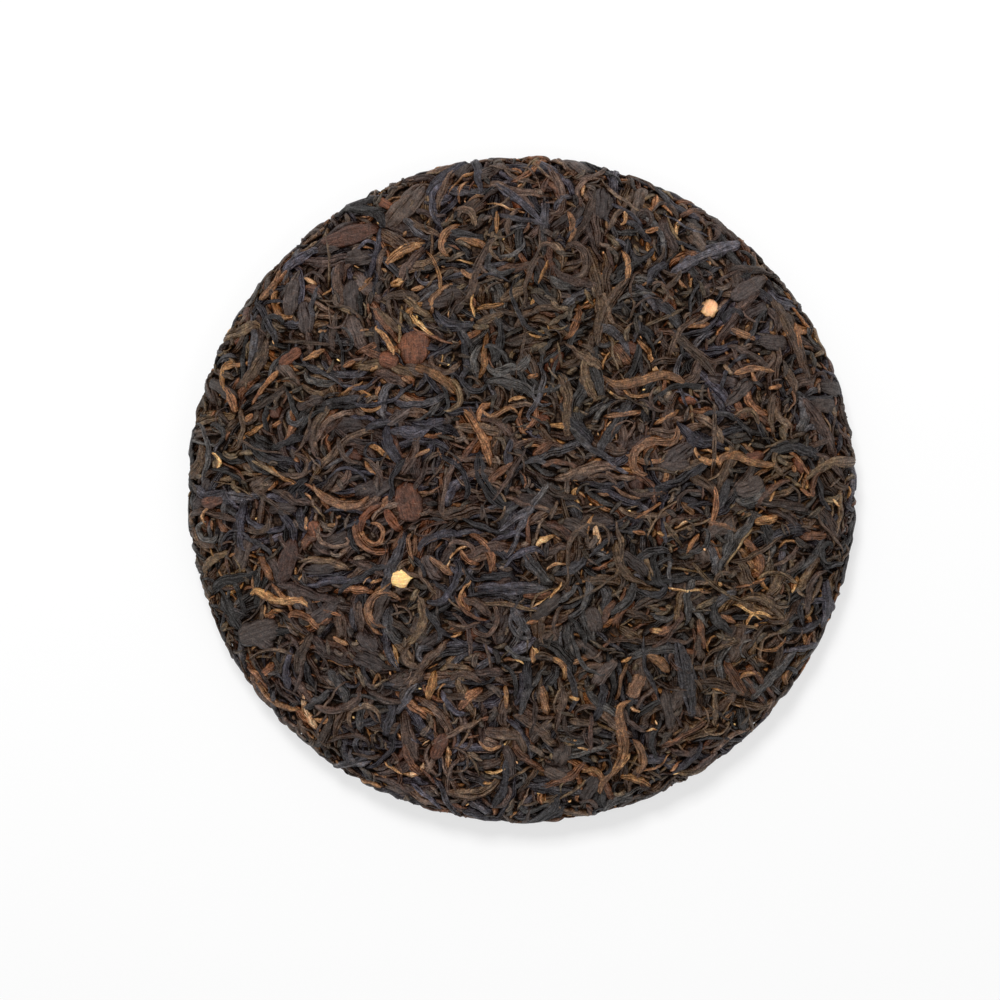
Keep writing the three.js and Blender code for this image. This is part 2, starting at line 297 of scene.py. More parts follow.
HOOKED = 0.3  # share of the leaves' ends that are hooked
LENGTH_SKEW = 1.2  # above one, small sizes are the more common
WIDTH_SKEW = 1.3
FOLD_RANGE = (0.6, 1.1)  # of the sort's depth of folds


def drawn_leaves(sorts: tuple[LeafSort, ...], count: int, rng: np.random.Generator) -> Leaves:
    """Draws leaves of several sorts.

    Args:
        sorts: The sorts, with their weights.
        count: Number of leaves.
        rng: Source of the draws.

    Returns:
        The leaves, with headings all round.
    """
    weights = np.array([sort.weight for sort in sorts])
    which = rng.choice(len(sorts), count, p=weights / weights.sum())

    def column(name: str) -> Array:
        """The sort's own number for each leaf."""
        return np.array([getattr(sort, name) for sort in sorts], float)[which]

    def between(name: str, skew: float = 1.0) -> Array:
        """A size for each leaf, from the sort's smallest to its largest."""
        low, high = column(name).T
        return low + (high - low) * rng.random(count) ** skew

    def both_ways(name: str) -> Array:
        """A turn for each leaf to either hand, up to the sort's largest."""
        return np.radians(column(name)) * rng.uniform(-1, 1, count)

    hooked = rng.random((2, count)) < HOOKED
    return Leaves(
        kind=np.array([sort.kind for sort in sorts], dtype=object)[which],
        heading=rng.uniform(0, FULL_TURN, count),
        length=between("length", LENGTH_SKEW),
        width=between("width", WIDTH_SKEW),
        thickness=between("thickness"),
        bend=both_ways("bend"),
        sway=both_ways("sway"),
        hook_start=both_ways("hook") * hooked[0],
        hook_end=both_ways("hook") * hooked[1],
        groove=column("groove") * rng.uniform(*FOLD_RANGE, count),
        twist=column("twist") * rng.uniform(-1, 1, count),
        end_start=between("ends"),
        end_end=between("ends"),
        tint=rng.random(count),
    )


FINE = 37  # points along a leaf's middle line
HOOK_REACH = 0.13  # how far a hook's turn spreads along the leaf, as a share of its length
KINK = 0.13  # how far small kinks turn a leaf, in radians
KINK_PITCHES = (14, 25)  # of their two sines, in radians a leaf
KINK_PHASES = 40  # radians that the leaves' tints spread the sines over


def middle_lines(leaves: Leaves) -> tuple[Array, Array, Array]:
    """Middle lines of leaves, before they are moved to their places.

    The turn per length is the bend, plus the sway times the share from the middle, plus a bell
    curve at each end that holds the hook. Its sum and two sines of kinks give the heading, and the
    sum of the heading's sine and cosine gives the line.

    Args:
        leaves: The leaves.

    Returns:
        Three arrays, one row a leaf: x and y from the leaf's middle, and the heading.
    """
    share = np.linspace(-0.5, 0.5, FINE)
    step = share[1] - share[0]

    def bell(place: float) -> Array:
        """Turn per length of a hook at this end, of which the half on the leaf adds up to one."""
        return np.exp(-(((share - place) / HOOK_REACH) ** 2)) / (HOOK_REACH * math.sqrt(math.pi) / 2)

    wander = KINK_PHASES * leaves.tint[:, None]
    slow, quick = KINK_PITCHES
    kinks = KINK * (np.sin(slow * share + wander) + np.sin(quick * share + 2 * wander))
    turning = (
        leaves.bend[:, None]
        + leaves.sway[:, None] * share
        + leaves.hook_start[:, None] * bell(-0.5)
        + leaves.hook_end[:, None] * bell(0.5)
    )
    heading = np.cumsum(turning, axis=1) * step + kinks
    heading += (leaves.heading - heading[:, FINE // 2])[:, None]
    line_x = np.cumsum(np.cos(heading), axis=1) * step * leaves.length[:, None]
    line_y = np.cumsum(np.sin(heading), axis=1) * step * leaves.length[:, None]
    middle = slice(FINE // 2, FINE // 2 + 1)
    return line_x - line_x[:, middle], line_y - line_y[:, middle], heading


def end_taper(leaves: Leaves) -> Array:
    """Share of its full width that a leaf has along it.

    Args:
        leaves: The leaves.

    Returns:
        One row a leaf: one less the square of the place along, from minus one to one, to a power
        that goes evenly from the one end's to the other's. A half is a circle's.
    """
    share = np.linspace(-1, 1, FINE)
    toward_end = (share + 1) / 2
    power = leaves.end_start[:, None] * (1 - toward_end) + leaves.end_end[:, None] * toward_end
    return np.clip(1 - share**2, LEAST, 1) ** power


@dataclass
class Pile:
    """Heights of the leaves laid so far on one sheet, on a grid."""

    reach: float  # of the leaves' middles from the sheet's, at most
    cell: float = 0.5
    margin: int = 40  # cells beyond the reach
    tries: int = 10  # places tried for each leaf
    flow_turn: float = 1.7  # of each of the flow's two waves, in radians
    flow_pitches: tuple[float, float] = (15, 13)  # millimetres a radian, as are the next
    bend_pitches: tuple[float, float] = (19, 17)  # of the waves that bend those two
    flow_bends: tuple[float, float] = (1.3, 1.1)  # in radians
    in_flow: float = 0.5  # share of the tries that follow the flow
    flow_stray: float = 0.35  # from the flow, in radians
    rim_stray: float = 0.9  # from the rim's direction, in radians
    unevenness: float = 0.7  # what the spread of the heights under a leaf counts for
    covering: float = 40  # what covering a leaf that stands out counts for
    across: int = 7  # samples across a leaf
    highest: float = 0.4  # weight of the highest point under a leaf against the average
    stiffness: float = 1.2
    settle: float = 0.4  # share of its thickness that a leaf settles by
    lean: float = 0.6  # share of the slope under it that a leaf takes on
    narrowest: float = 0.3  # half width that the slope is reckoned over
    steepest: float = 0.7  # slope across a leaf
    edge: float = 0.3  # height of a leaf's edge, as a share of its thickness
    heights: Array = field(init=False)
    guarded: Array = field(init=False)

    def __post_init__(self) -> None:
        """Starts with a bare sheet."""
        cells = 2 * (int(self.reach / self.cell) + self.margin)
        self.heights = np.zeros((cells, cells))
        self.guarded = np.zeros((cells, cells))

    def flow(self, x: Array, y: Array) -> Array:
        """Heading that leaves near a place tend to share.

        Args:
            x: Places on the sheet, to the right.
            y: Places on the sheet, upwards.

        Returns:
            A sine of x plus a sine of y, each with a sine of the other added to its phase.
        """
        right, up = self.flow_pitches
        bent_up, bent_right = self.bend_pitches
        first = self.flow_turn * np.sin(x / right + self.flow_bends[0] * np.sin(y / bent_up))
        return first + self.flow_turn * np.sin(y / up + self.flow_bends[1] * np.sin(x / bent_right))

    def cells_at(self, x: Array, y: Array) -> tuple[Rows, Rows]:
        """Finds the cells that hold some places.

        Args:
            x: Places on the sheet, to the right.
            y: Places on the sheet, upwards.

        Returns:
            The cells' rows and columns.
        """
        size = len(self.heights)
        column = np.clip((x / self.cell + size / 2).astype(int), 0, size - 1)
        row = np.clip((y / self.cell + size / 2).astype(int), 0, size - 1)
        return row, column

    def chosen_place(
        self, line_x: Array, line_y: Array, rng: np.random.Generator, rim: float
    ) -> tuple[float, float, float]:
        """Picks the place and turn where a leaf lies lowest and most level of several drawn ones.

        Some of the tries turn the leaf along the flow. Near the rim it lies roughly along the rim.
        Places that would cover a leaf that stands out count as high.

        Args:
            line_x: The leaf's middle line from its middle, to the right.
            line_y: The same, upwards.
            rng: Source of the draws.
            rim: Distance from the sheet's middle from which leaves lie along the rim.

        Returns:
            Place to the right, place upwards, and the turn added to the leaf's heading.
        """
        away = self.reach * np.sqrt(rng.random(self.tries))
        round_it = rng.uniform(0, FULL_TURN, self.tries)
        overall = math.atan2(line_y[-1] - line_y[0], line_x[-1] - line_x[0])
        x, y = away * np.cos(round_it), away * np.sin(round_it)
        with_flow = self.flow(x, y) + rng.normal(0, self.flow_stray, self.tries) - overall
        turn = np.where(rng.random(self.tries) < self.in_flow, with_flow, 0.0)
        along_rim = round_it + math.pi / 2 + rng.normal(0, self.rim_stray, self.tries) - overall
        turn = np.where(away > rim, along_rim, turn)
        cos, sin = np.cos(turn)[:, None], np.sin(turn)[:, None]
        rows, columns = self.cells_at(
            x[:, None] + cos * line_x - sin * line_y, y[:, None] + sin * line_x + cos * line_y
        )
        under = self.heights[rows, columns]
        covered = self.covering * self.guarded[rows, columns].mean(1)
        best = int(np.argmin(under.mean(1) + self.unevenness * under.std(1) + covered))
        return float(x[best]), float(y[best]), float(turn[best])

    def lay(
        self, x: Array, y: Array, heading: Array, half_width: Array, thickness: Array, sink: Array
    ) -> tuple[Array, Array, tuple[Array, Array, Array]]:
        """Drapes one leaf over the pile and adds it to the heights.

        The leaf rests on a mean of the highest and the average height under each cross-section. That
        line is smoothed as far as the leaf is stiff, raised again by the smoothed part that it would
        cut off, and let down by the share that it settles and by the sink of its ends.

        Args:
            x: Middle line, to the right.
            y: Middle line, upwards.
            heading: Heading along it.
            half_width: Half of the width along it.
            thickness: Thickness along it.
            sink: How far each point is pushed in.

        Returns:
            Height of the underside along the leaf, its slope across, and the samples of its top.
        """
        across = np.linspace(-1, 1, self.across)
        offset = across * half_width[:, None]
        at_x = x[:, None] - np.sin(heading)[:, None] * offset
        at_y = y[:, None] + np.cos(heading)[:, None] * offset
        rows, columns = self.cells_at(at_x, at_y)
        under = self.heights[rows, columns]
        mean = under.mean(1)
        support = self.highest * under.max(1) + (1 - self.highest) * mean
        travel = np.cumsum(np.hypot(np.diff(x, prepend=x[0]), np.diff(y, prepend=y[0])))
        near = np.exp(-(((travel[:, None] - travel) / self.stiffness) ** 2))
        near /= near.sum(1, keepdims=True)
        level = near @ support
        level += near @ np.maximum(support - level, 0)
        level -= self.settle * thickness + sink
        slope = ((under - mean[:, None]) * across).sum(1) / (across**2).sum()
        slope = self.lean * (near @ slope) / np.maximum(half_width, self.narrowest)
        slope = np.clip(slope, -self.steepest, self.steepest)
        crown = self.edge + (1 - self.edge) * np.sqrt(np.clip(1 - across**2, 0, 1))
        top = level[:, None] + slope[:, None] * offset + thickness[:, None] * crown
        np.maximum.at(self.heights, (rows, columns), top)
        return level, slope, (rows, columns, top)

    def local_top(self, spread: float) -> Array:
        """Blurs the heights with a bell curve, by a product of Fourier transforms.

        Args:
            spread: The curve's spread.

        Returns:
            The blurred heights, reckoned over the sheet alone.
        """
        size = len(self.heights)
        waves = np.fft.fftfreq(size, self.cell)
        bell = np.exp(-2 * (math.pi * spread * waves) ** 2)
        weight = bell[:, None] * bell[None, : size // 2 + 1]
        axis = (np.arange(size) - size / 2) * self.cell
        inside = (np.hypot(axis[:, None], axis) < self.reach).astype(float)

        def blurred(values: Array) -> Array:
            """The values blurred, as if all round were nought."""
            return np.fft.irfft2(np.fft.rfft2(values) * weight, s=values.shape)

        return blurred(self.heights * inside) / np.maximum(blurred(inside), LEAST)

    def sampled(self, grid: Array, x: Array, y: Array) -> Array:
        """Reads a grid at some places.

        Args:
            grid: The grid.
            x: Places on the sheet, to the right.
            y: Places on the sheet, upwards.

        Returns:
            The values, blended between the four cells round each place.
        """
        size = len(grid)
        column = np.clip(x / self.cell + size / 2 - 0.5, 0, size - 1 - LEAST)
        row = np.clip(y / self.cell + size / 2 - 0.5, 0, size - 1 - LEAST)
        i, j = row.astype(int), column.astype(int)
        v, u = row - i, column - j
        low = grid[i, j] * (1 - u) + grid[i, j + 1] * u
        high = grid[i + 1, j] * (1 - u) + grid[i + 1, j + 1] * u
        return low * (1 - v) + high * v


# The picture's outline is that of the rim, which lies lower than the face and is seen from a little above.
SHOWN_SCALE = 0.977
SHOWN_SHIFT = np.array([0.0, 2.65])


@dataclass(frozen=True)
class Shown:
    """A leaf that stands out on the face, by points of its middle line against the picture's outline."""

    finer = 8  # samples of the curve for each point of the middle line

    points: tuple[tuple[float, float], ...]
    width: float
    kind: Kind
    tint: float
    thickness: float = 1.7
    groove: float = 0.8
    ends: float = 0.5
    far_end: float = 0.0  # of the last end, where it differs

    def line(self, form: CakeForm) -> tuple[Array, Array]:
        """The middle line at even distances on the face's sheet.

        The curve is the polynomial through the points over the distance from point to point.

        Args:
            form: The cake's form.

        Returns:
            Places to the right and upwards.
        """
        points = np.array(self.points) * SHOWN_SCALE + SHOWN_SHIFT
        steps = np.concatenate([[0.0], np.cumsum(np.hypot(*np.diff(points, axis=0).T))])
        fine = np.linspace(0, steps[-1], self.finer * FINE)
        x, y = (np.polyval(np.polyfit(steps, axis, len(steps) - 1), fine) for axis in points.T)
        x, y = form.on_sheet(x, y)
        along = np.concatenate([[0.0], np.cumsum(np.hypot(np.diff(x), np.diff(y)))])
        even = np.linspace(0, along[-1], FINE)
        return np.interp(even, along, x), np.interp(even, along, y)


# The kinds by their letters, for the rows below.
S, B, R, G = Kind.SLATE, Kind.BROWN, Kind.RUST, Kind.GOLDEN
F, T, C = Kind.BROAD, Kind.STEM, Kind.FLAKE

SHOWN = (
    # Around the upper left.
    Shown(((-41, 77.5), (-35, 84), (-29, 91)), 7.2, F, 0.9, 1.5, 0.7, 0.45),
    Shown(((-60.5, 73), (-51, 75.5), (-42, 77.5)), 5.6, C, 0.25, 1.3, 0.5, 0.5),
    Shown(((-41, 66), (-35, 71), (-28.5, 73)), 2.9, G, 0.55),
    Shown(((-18, 78.5), (-22.5, 76), (-24, 72), (-21.5, 69)), 2.4, G, 0.45),
    Shown(((-15.5, 91.5), (-18.5, 89), (-18.5, 84.5)), 1.2, G, 0.4),
    Shown(((-20, 82.5), (-15.5, 82), (-14, 77.5)), 2.8, B, 0.8),
    Shown(((-7.5, 83), (-7.5, 75)), 1.4, G, 0.4),
    Shown(((-49, 58.5), (-44.5, 63)), 2.2, G, 0.15),
    Shown(((-39.5, 60.5), (-35, 62)), 2.6, G, 0.7),
    Shown(((-33, 59), (-29, 60)), 1.6, G, 0.6),
    Shown(((-29, 71), (-25, 65), (-24.5, 57.5)), 1.3, G, 0.3),
    Shown(((-42, 56), (-36, 57.5), (-30, 56)), 3.2, B, 0.3),
    Shown(((-65, 62.5), (-61, 60.5)), 1.6, G, 0.8),
    Shown(((-59, 77), (-57.5, 68), (-58, 59)), 1.2, T, 0.5),
    Shown(((-72, 64), (-66, 69), (-60, 71)), 3.6, S, 0.8),
    Shown(((-79, 56), (-75, 60), (-72.5, 65)), 3.0, G, 0.2),
    Shown(((-73.5, 61), (-70, 65)), 1.6, R, 0.95),
    Shown(((-61, 46.5), (-58, 47)), 1.4, G, 0.8),
    Shown(((-50, 40), (-42, 43.5)), 2.4, R, 0.6),
    Shown(((-32.5, 36.5), (-32, 47)), 9.2, C, 0.8, 1.2, 0.2, 0.42),
    Shown(((-33.5, 36.5), (-27, 34.5), (-19.5, 28)), 3.2, G, 0.15),
    Shown(((-17.5, 24), (-12, 15.5), (-9.5, 6.5)), 3.0, R, 0.9),
    Shown(((-12, 24), (-8, 22), (-4.5, 24), (-1, 22)), 1.8, G, 0.35),
    Shown(((-44, 54), (-36, 46)), 2.6, B, 0.7),
    Shown(((-73, 43.5), (-64, 43.5), (-54.5, 42.3)), 1.5, T, 0.2),
    Shown(((-81, 24.5), (-77.5, 29.5), (-72, 35.5)), 1.8, R, 0.9),
    Shown(((-72.5, 36.5), (-66, 41.5)), 3.6, C, 0.85, 1.3, 0.3, 0.4),
    Shown(((-65.5, 38), (-58.5, 41.5)), 1.8, G, 0.5),
    Shown(((-86, 37.5), (-89, 36.5), (-90, 31.5), (-88.5, 28)), 1.9, G, 0.5),
    Shown(((-89, 30), (-87, 26), (-86, 22)), 2.8, R, 0.9),
    Shown(((-83, 19.5), (-80.5, 22)), 2.0, R, 0.95),
    Shown(((-75, 18), (-71.5, 20)), 1.8, R, 0.9),
    Shown(((-45.5, 35), (-42.5, 36.5)), 1.3, G, 0.7),
    Shown(((-53.5, 36), (-49.5, 38)), 1.6, R, 0.95),
    Shown(((-40, 19), (-33, 24)), 3.4, F, 0.9),
    Shown(((-32, 9.5), (-27, 12)), 1.5, G, 0.5),
    Shown(((-81, 8), (-72, 3.3)), 1.4, T, 0.95),
    Shown(((-13.5, 53.5), (-5, 55)), 1.7, G, 0.5),
    Shown(((-14, 49), (-5, 52.5)), 2.6, B, 0.7),
    # Around the upper right.
    Shown(((6.5, 97), (11, 90), (11.5, 82), (7.5, 82)), 2.6, B, 0.8, 2.1),
    Shown(((13.5, 82.5), (15.2, 77.5), (13.5, 72.3)), 2.4, G, 0.2),
    Shown(((36.5, 76), (41, 77.5)), 1.8, R, 0.95),
    Shown(((44, 64), (55, 69.5), (66, 73)), 5.0, S, 0.95),
    Shown(((18.5, 72.5), (21.5, 65), (23.5, 56.5)), 4.0, B, 0.6),
    Shown(((13, 72), (18.5, 70), (18.5, 64.5), (14, 63)), 3.4, B, 0.5),
    Shown(((29.5, 71), (31.5, 65), (30, 60.5), (26, 59.5)), 2.2, G, 0.5),
    Shown(((8, 68.5), (4.7, 60.5)), 1.2, G, 0.4),
    Shown(((49, 48), (56.5, 49)), 2.0, R, 0.95),
    Shown(((62, 47.5), (70, 44)), 2.4, G, 0.2),
    Shown(((36, 48), (48.5, 53.5)), 1.6, T, 0.4),
    Shown(((22.5, 42.5), (24.5, 53), (32, 62.5)), 3.6, B, 0.55),
    Shown(((45, 45), (52, 40), (58, 32.5)), 3.0, B, 0.35),
    Shown(((34, 44.5), (38.5, 39.5)), 1.7, G, 0.5),
    Shown(((27, 43), (32, 37)), 3.8, R, 0.4),
    Shown(((23, 34.5), (31, 31), (40, 33.5), (49, 30.5)), 3.2, G, 0.08),
    Shown(((60, 37), (63, 33.5)), 1.6, T, 1.0),
    Shown(((63, 34), (69, 35.5), (75.5, 34.5)), 2.2, G, 0.4),
    Shown(((62, 56), (73.5, 63)), 5.2, F, 0.5, 1.3, 0.4),
    Shown(((24, 21.5), (36, 23)), 2.2, G, 0.3),
    Shown(((39, 19), (47, 23.5)), 1.9, G, 0.4),
    Shown(((63, 21), (68.5, 23), (70.5, 18.5)), 2.0, B, 0.8),
    Shown(((46, 19), (44, 14), (35.5, 13), (33, 8.5), (38, 4.5)), 3.0, G, 0.2, 2.0),
    Shown(((57, 25.5), (57.5, 14), (56.5, 2.5)), 1.8, T, 0.45),
    Shown(((59, 5.5), (59.5, 9), (67, 8.5), (76.5, 8)), 3.0, G, 0.25),
    Shown(((73.5, 29.5), (78, 30.5)), 1.7, R, 0.95),
    Shown(((74, 58), (81, 46), (86, 32)), 4.0, B, 0.5),
    Shown(((83, 27), (90, 18), (94, 8)), 4.2, B, 0.4),
    Shown(((82, 49.5), (83.5, 39)), 1.9, R, 0.9),
    Shown(((1, 33), (5, 34)), 1.7, R, 0.95),
    Shown(((3, 10), (9, 14)), 2.6, R, 0.5),
    Shown(((10.5, 44), (12, 35.5)), 1.0, T, 0.5),
    Shown(((-9, 91), (-1, 85.5), (6.5, 78.5)), 2.8, S, 0.7),
    Shown(((31, 93), (36, 92.5), (40, 88.5)), 2.0, B, 0.6, 2.4),
    # Around the lower left.
    Shown(((-62.5, 1.5), (-57, -4), (-48.5, -4.5), (-45, -1)), 2.7, G, 0.2),
    Shown(((-64.5, -8.5), (-64.5, -13)), 1.5, G, 0.5),
    Shown(((-82, 0.5), (-75, -4.5), (-68.5, -8.5)), 2.0, T, 0.2),
    Shown(((-49.5, -9), (-49.5, -14), (-47, -17.5), (-43, -19), (-39, -18)), 2.2, R, 0.7),
    Shown(((-39, -18.5), (-36.5, -14.5), (-35.5, -12)), 2.0, R, 0.5),
    Shown(
        ((-47.5, -13), (-46, -16), (-43, -16.5), (-41.5, -14), (-42.5, -11), (-45.5, -10.5)), 1.7, R, 0.99
    ),
    Shown(((-42, -5), (-47.5, -9), (-48, -13.5)), 2.9, C, 0.97),
    Shown(((-40.5, -5.5), (-39, -9.5), (-35.5, -12.5)), 3.0, C, 0.97),
    Shown(((-40, -2), (-41.5, -6)), 2.0, R, 0.9),
    Shown(((-35.5, 2), (-32, -10)), 8.4, C, 0.5, 1.2, 0.2, 0.5),
    Shown(((-28, -20), (-20.5, -26)), 2.4, G, 0.2),
    Shown(((-16, -13.5), (-11.5, -16), (-9, -21), (-9.5, -25.5)), 2.6, R, 0.85),
    Shown(((-18.5, -18), (-16, -21.5), (-12.5, -22.5)), 1.8, R, 0.9),
    Shown(((-72, -29), (-68.5, -15)), 5.2, C, 0.0, 1.4, 0.4, 0.3),
    Shown(((-82, -34.5), (-80, -31.5), (-76, -33.5), (-70, -34), (-64, -36.5)), 3.0, G, 0.7),
    Shown(
        ((-36, -34.5), (-39, -31.5), (-43.5, -32), (-46, -36), (-44, -40.5), (-39.5, -41.5)), 2.3, G, 0.2
    ),
    Shown(((-49, -33.5), (-48.5, -44)), 3.2, B, 0.6),
    Shown(((-86, -46.5), (-73, -42)), 7.6, F, 0.35, 1.3, 0.3, 0.25),
    Shown(((-91, -33), (-85, -44)), 5.0, S, 0.3),
    Shown(((-57, -45), (-52, -47.5)), 1.7, G, 0.6),
    Shown(((-60, -36.5), (-54, -38.5)), 1.2, R, 0.95),
    Shown(((-28.5, -64.5), (-26, -55)), 3.2, G, 0.55),
    Shown(((-19, -67.5), (-15.5, -63), (-11.5, -60.5)), 3.2, R, 0.8),
    Shown(((-5, -59), (-4.5, -67)), 1.8, G, 0.5),
    Shown(((-35.5, -67), (-34, -76), (-31.5, -84)), 4.4, B, 0.6),
    Shown(((-27, -83), (-23, -74.5)), 4.4, C, 0.6, 1.3, 0.35, 0.4),
    Shown(((-81, -58.5), (-73.5, -67), (-67, -68)), 2.6, G, 0.25),
    Shown(((-12, -90.5), (-9, -90)), 1.8, G, 0.7),
    Shown(((-13, -76.5), (-9.5, -79.5), (-6, -78)), 1.7, G, 0.5),
    Shown(((-11.5, -73.5), (-1, -75.5)), 4.2, B, 0.7),
    Shown(((-83, -53), (-76, -49.5), (-68.5, -51)), 1.4, T, 0.5),
    Shown(((-15, -30), (-3, -29.5), (9, -30.5)), 4.2, S, 0.8),
    # Around the lower right.
    Shown(((57, 1.5), (58, -5.5), (55.5, -12.5)), 1.8, R, 0.95),
    Shown(((55, -9.5), (64.5, -13)), 2.2, G, 0.2),
    Shown(((69.5, -10.5), (77, -9)), 3.2, G, 0.55),
    Shown(((47.5, -4), (51.5, -8)), 2.4, G, 0.1),
    Shown(((33.5, -9), (42, -4)), 1.3, R, 0.95),
    Shown(((10.5, -31), (13.5, -20), (17, -12), (22, -10.5), (25, -18.5)), 1.8, T, 0.35),
    Shown(((42, -9.5), (48.5, -18)), 1.6, T, 0.4),
    Shown(((50, -21), (58, -29.5), (68, -35)), 1.8, T, 0.45),
    Shown(((53, -13.5), (49, -19.5)), 1.8, R, 0.9),
    Shown(((40, -13), (43, -14)), 1.5, G, 0.75),
    Shown(((32.5, -12.5), (37, -13.5)), 1.5, R, 0.95),
    Shown(((38.5, -42.5), (43.5, -43.5)), 2.0, G, 0.95),
    Shown(((67.5, -42), (69, -38.5), (76, -40)), 1.4, G, 0.85),
    Shown(((83.5, -15), (92.5, -15)), 3.0, R, 0.5),
    Shown(((59.5, -38), (64.5, -41)), 2.2, R, 0.8),
    Shown(((37, -50), (41.5, -52.5), (44.5, -56.5)), 3.4, G, 0.12),
    Shown(((53, -39), (55, -49)), 2.4, R, 0.5),
    Shown(((33, -64), (30.5, -75), (30.5, -82.5), (25.5, -89.5), (24, -95)), 3.6, G, 0.25, 2.1),
    Shown(((32.5, -63.5), (36.5, -56)), 4.8, G, 0.05, 1.3, 0.3, 0.3),
    Shown(((29.5, -86), (33, -81)), 1.6, G, 0.6),
    Shown(((33.5, -76.5), (36.5, -81), (35, -88)), 3.0, G, 0.15),
    Shown(((29, -88.5), (34, -89), (39.5, -92)), 2.2, G, 0.45),
    Shown(((8.5, -51), (12.5, -53.5), (12.5, -58.5)), 2.3, G, 0.4),
    Shown(((5.5, -59), (8, -69)), 3.0, G, 0.3),
    Shown(((14, -63), (17.5, -64)), 1.6, G, 0.8),
    Shown(((61, -52.5), (68, -64)), 3.4, R, 0.35),
    Shown(((67, -57), (74.5, -67.5)), 2.4, R, 0.1),
    Shown(((69.5, -55), (77, -65)), 2.2, R, 0.2),
    Shown(((18, -87.5), (22, -86), (24.5, -90)), 2.0, G, 0.4),
    Shown(((1, -40.5), (5, -39.5)), 1.6, R, 0.95),
    Shown(((3, -47.5), (3.5, -53)), 2.0, G, 0.5),
    Shown(((46.5, -45.5), (49.5, -58), (51.5, -70.5)), 5.4, S, 0.6),
    Shown(((68.5, -66), (76, -58), (83, -50)), 3.8, S, 0.7),
    # Two pale scraps of husk.
    Shown(((-39.5, -27.3), (-32.2, -26.7)), 5.8, Kind.HUSK, 0.8, 1.2, 0.3, 0.02, 3.0),
    Shown(((54.7, 51.2), (57.2, 56.2)), 4.8, Kind.HUSK, 0.1, 1.2, 0.3, 0.25),
)


def shown_leaves(form: CakeForm) -> tuple[Leaves, Array, Array]:
    """The leaves that stand out, with their middle lines on the face's sheet.

    Args:
        form: The cake's form.

    Returns:
        The leaves, and the places of their lines to the right and upwards.
    """
    lines = np.array([leaf.line(form) for leaf in SHOWN])
    steps = np.diff(lines, axis=2)
    heading = np.unwrap(np.arctan2(steps[:, 1], steps[:, 0]), axis=1)
    none = np.zeros(len(SHOWN))

    def column(name: str) -> Array:
        """One number of every leaf."""
        return np.array([getattr(leaf, name) for leaf in SHOWN])

    leaves = Leaves(
        kind=np.array([leaf.kind for leaf in SHOWN], dtype=object),
        heading=none,
        length=np.hypot(steps[:, 0], steps[:, 1]).sum(axis=1),
        width=column("width"),
        thickness=column("thickness"),
        bend=heading[:, -1] - heading[:, 0],
        sway=none,
        hook_start=none,
        hook_end=none,
        groove=column("groove"),
        twist=none,
        end_start=column("ends"),
        end_end=np.where(column("far_end") > 0, column("far_end"), column("ends")),
        tint=column("tint"),
    )
    return leaves, lines[:, 0], lines[:, 1]


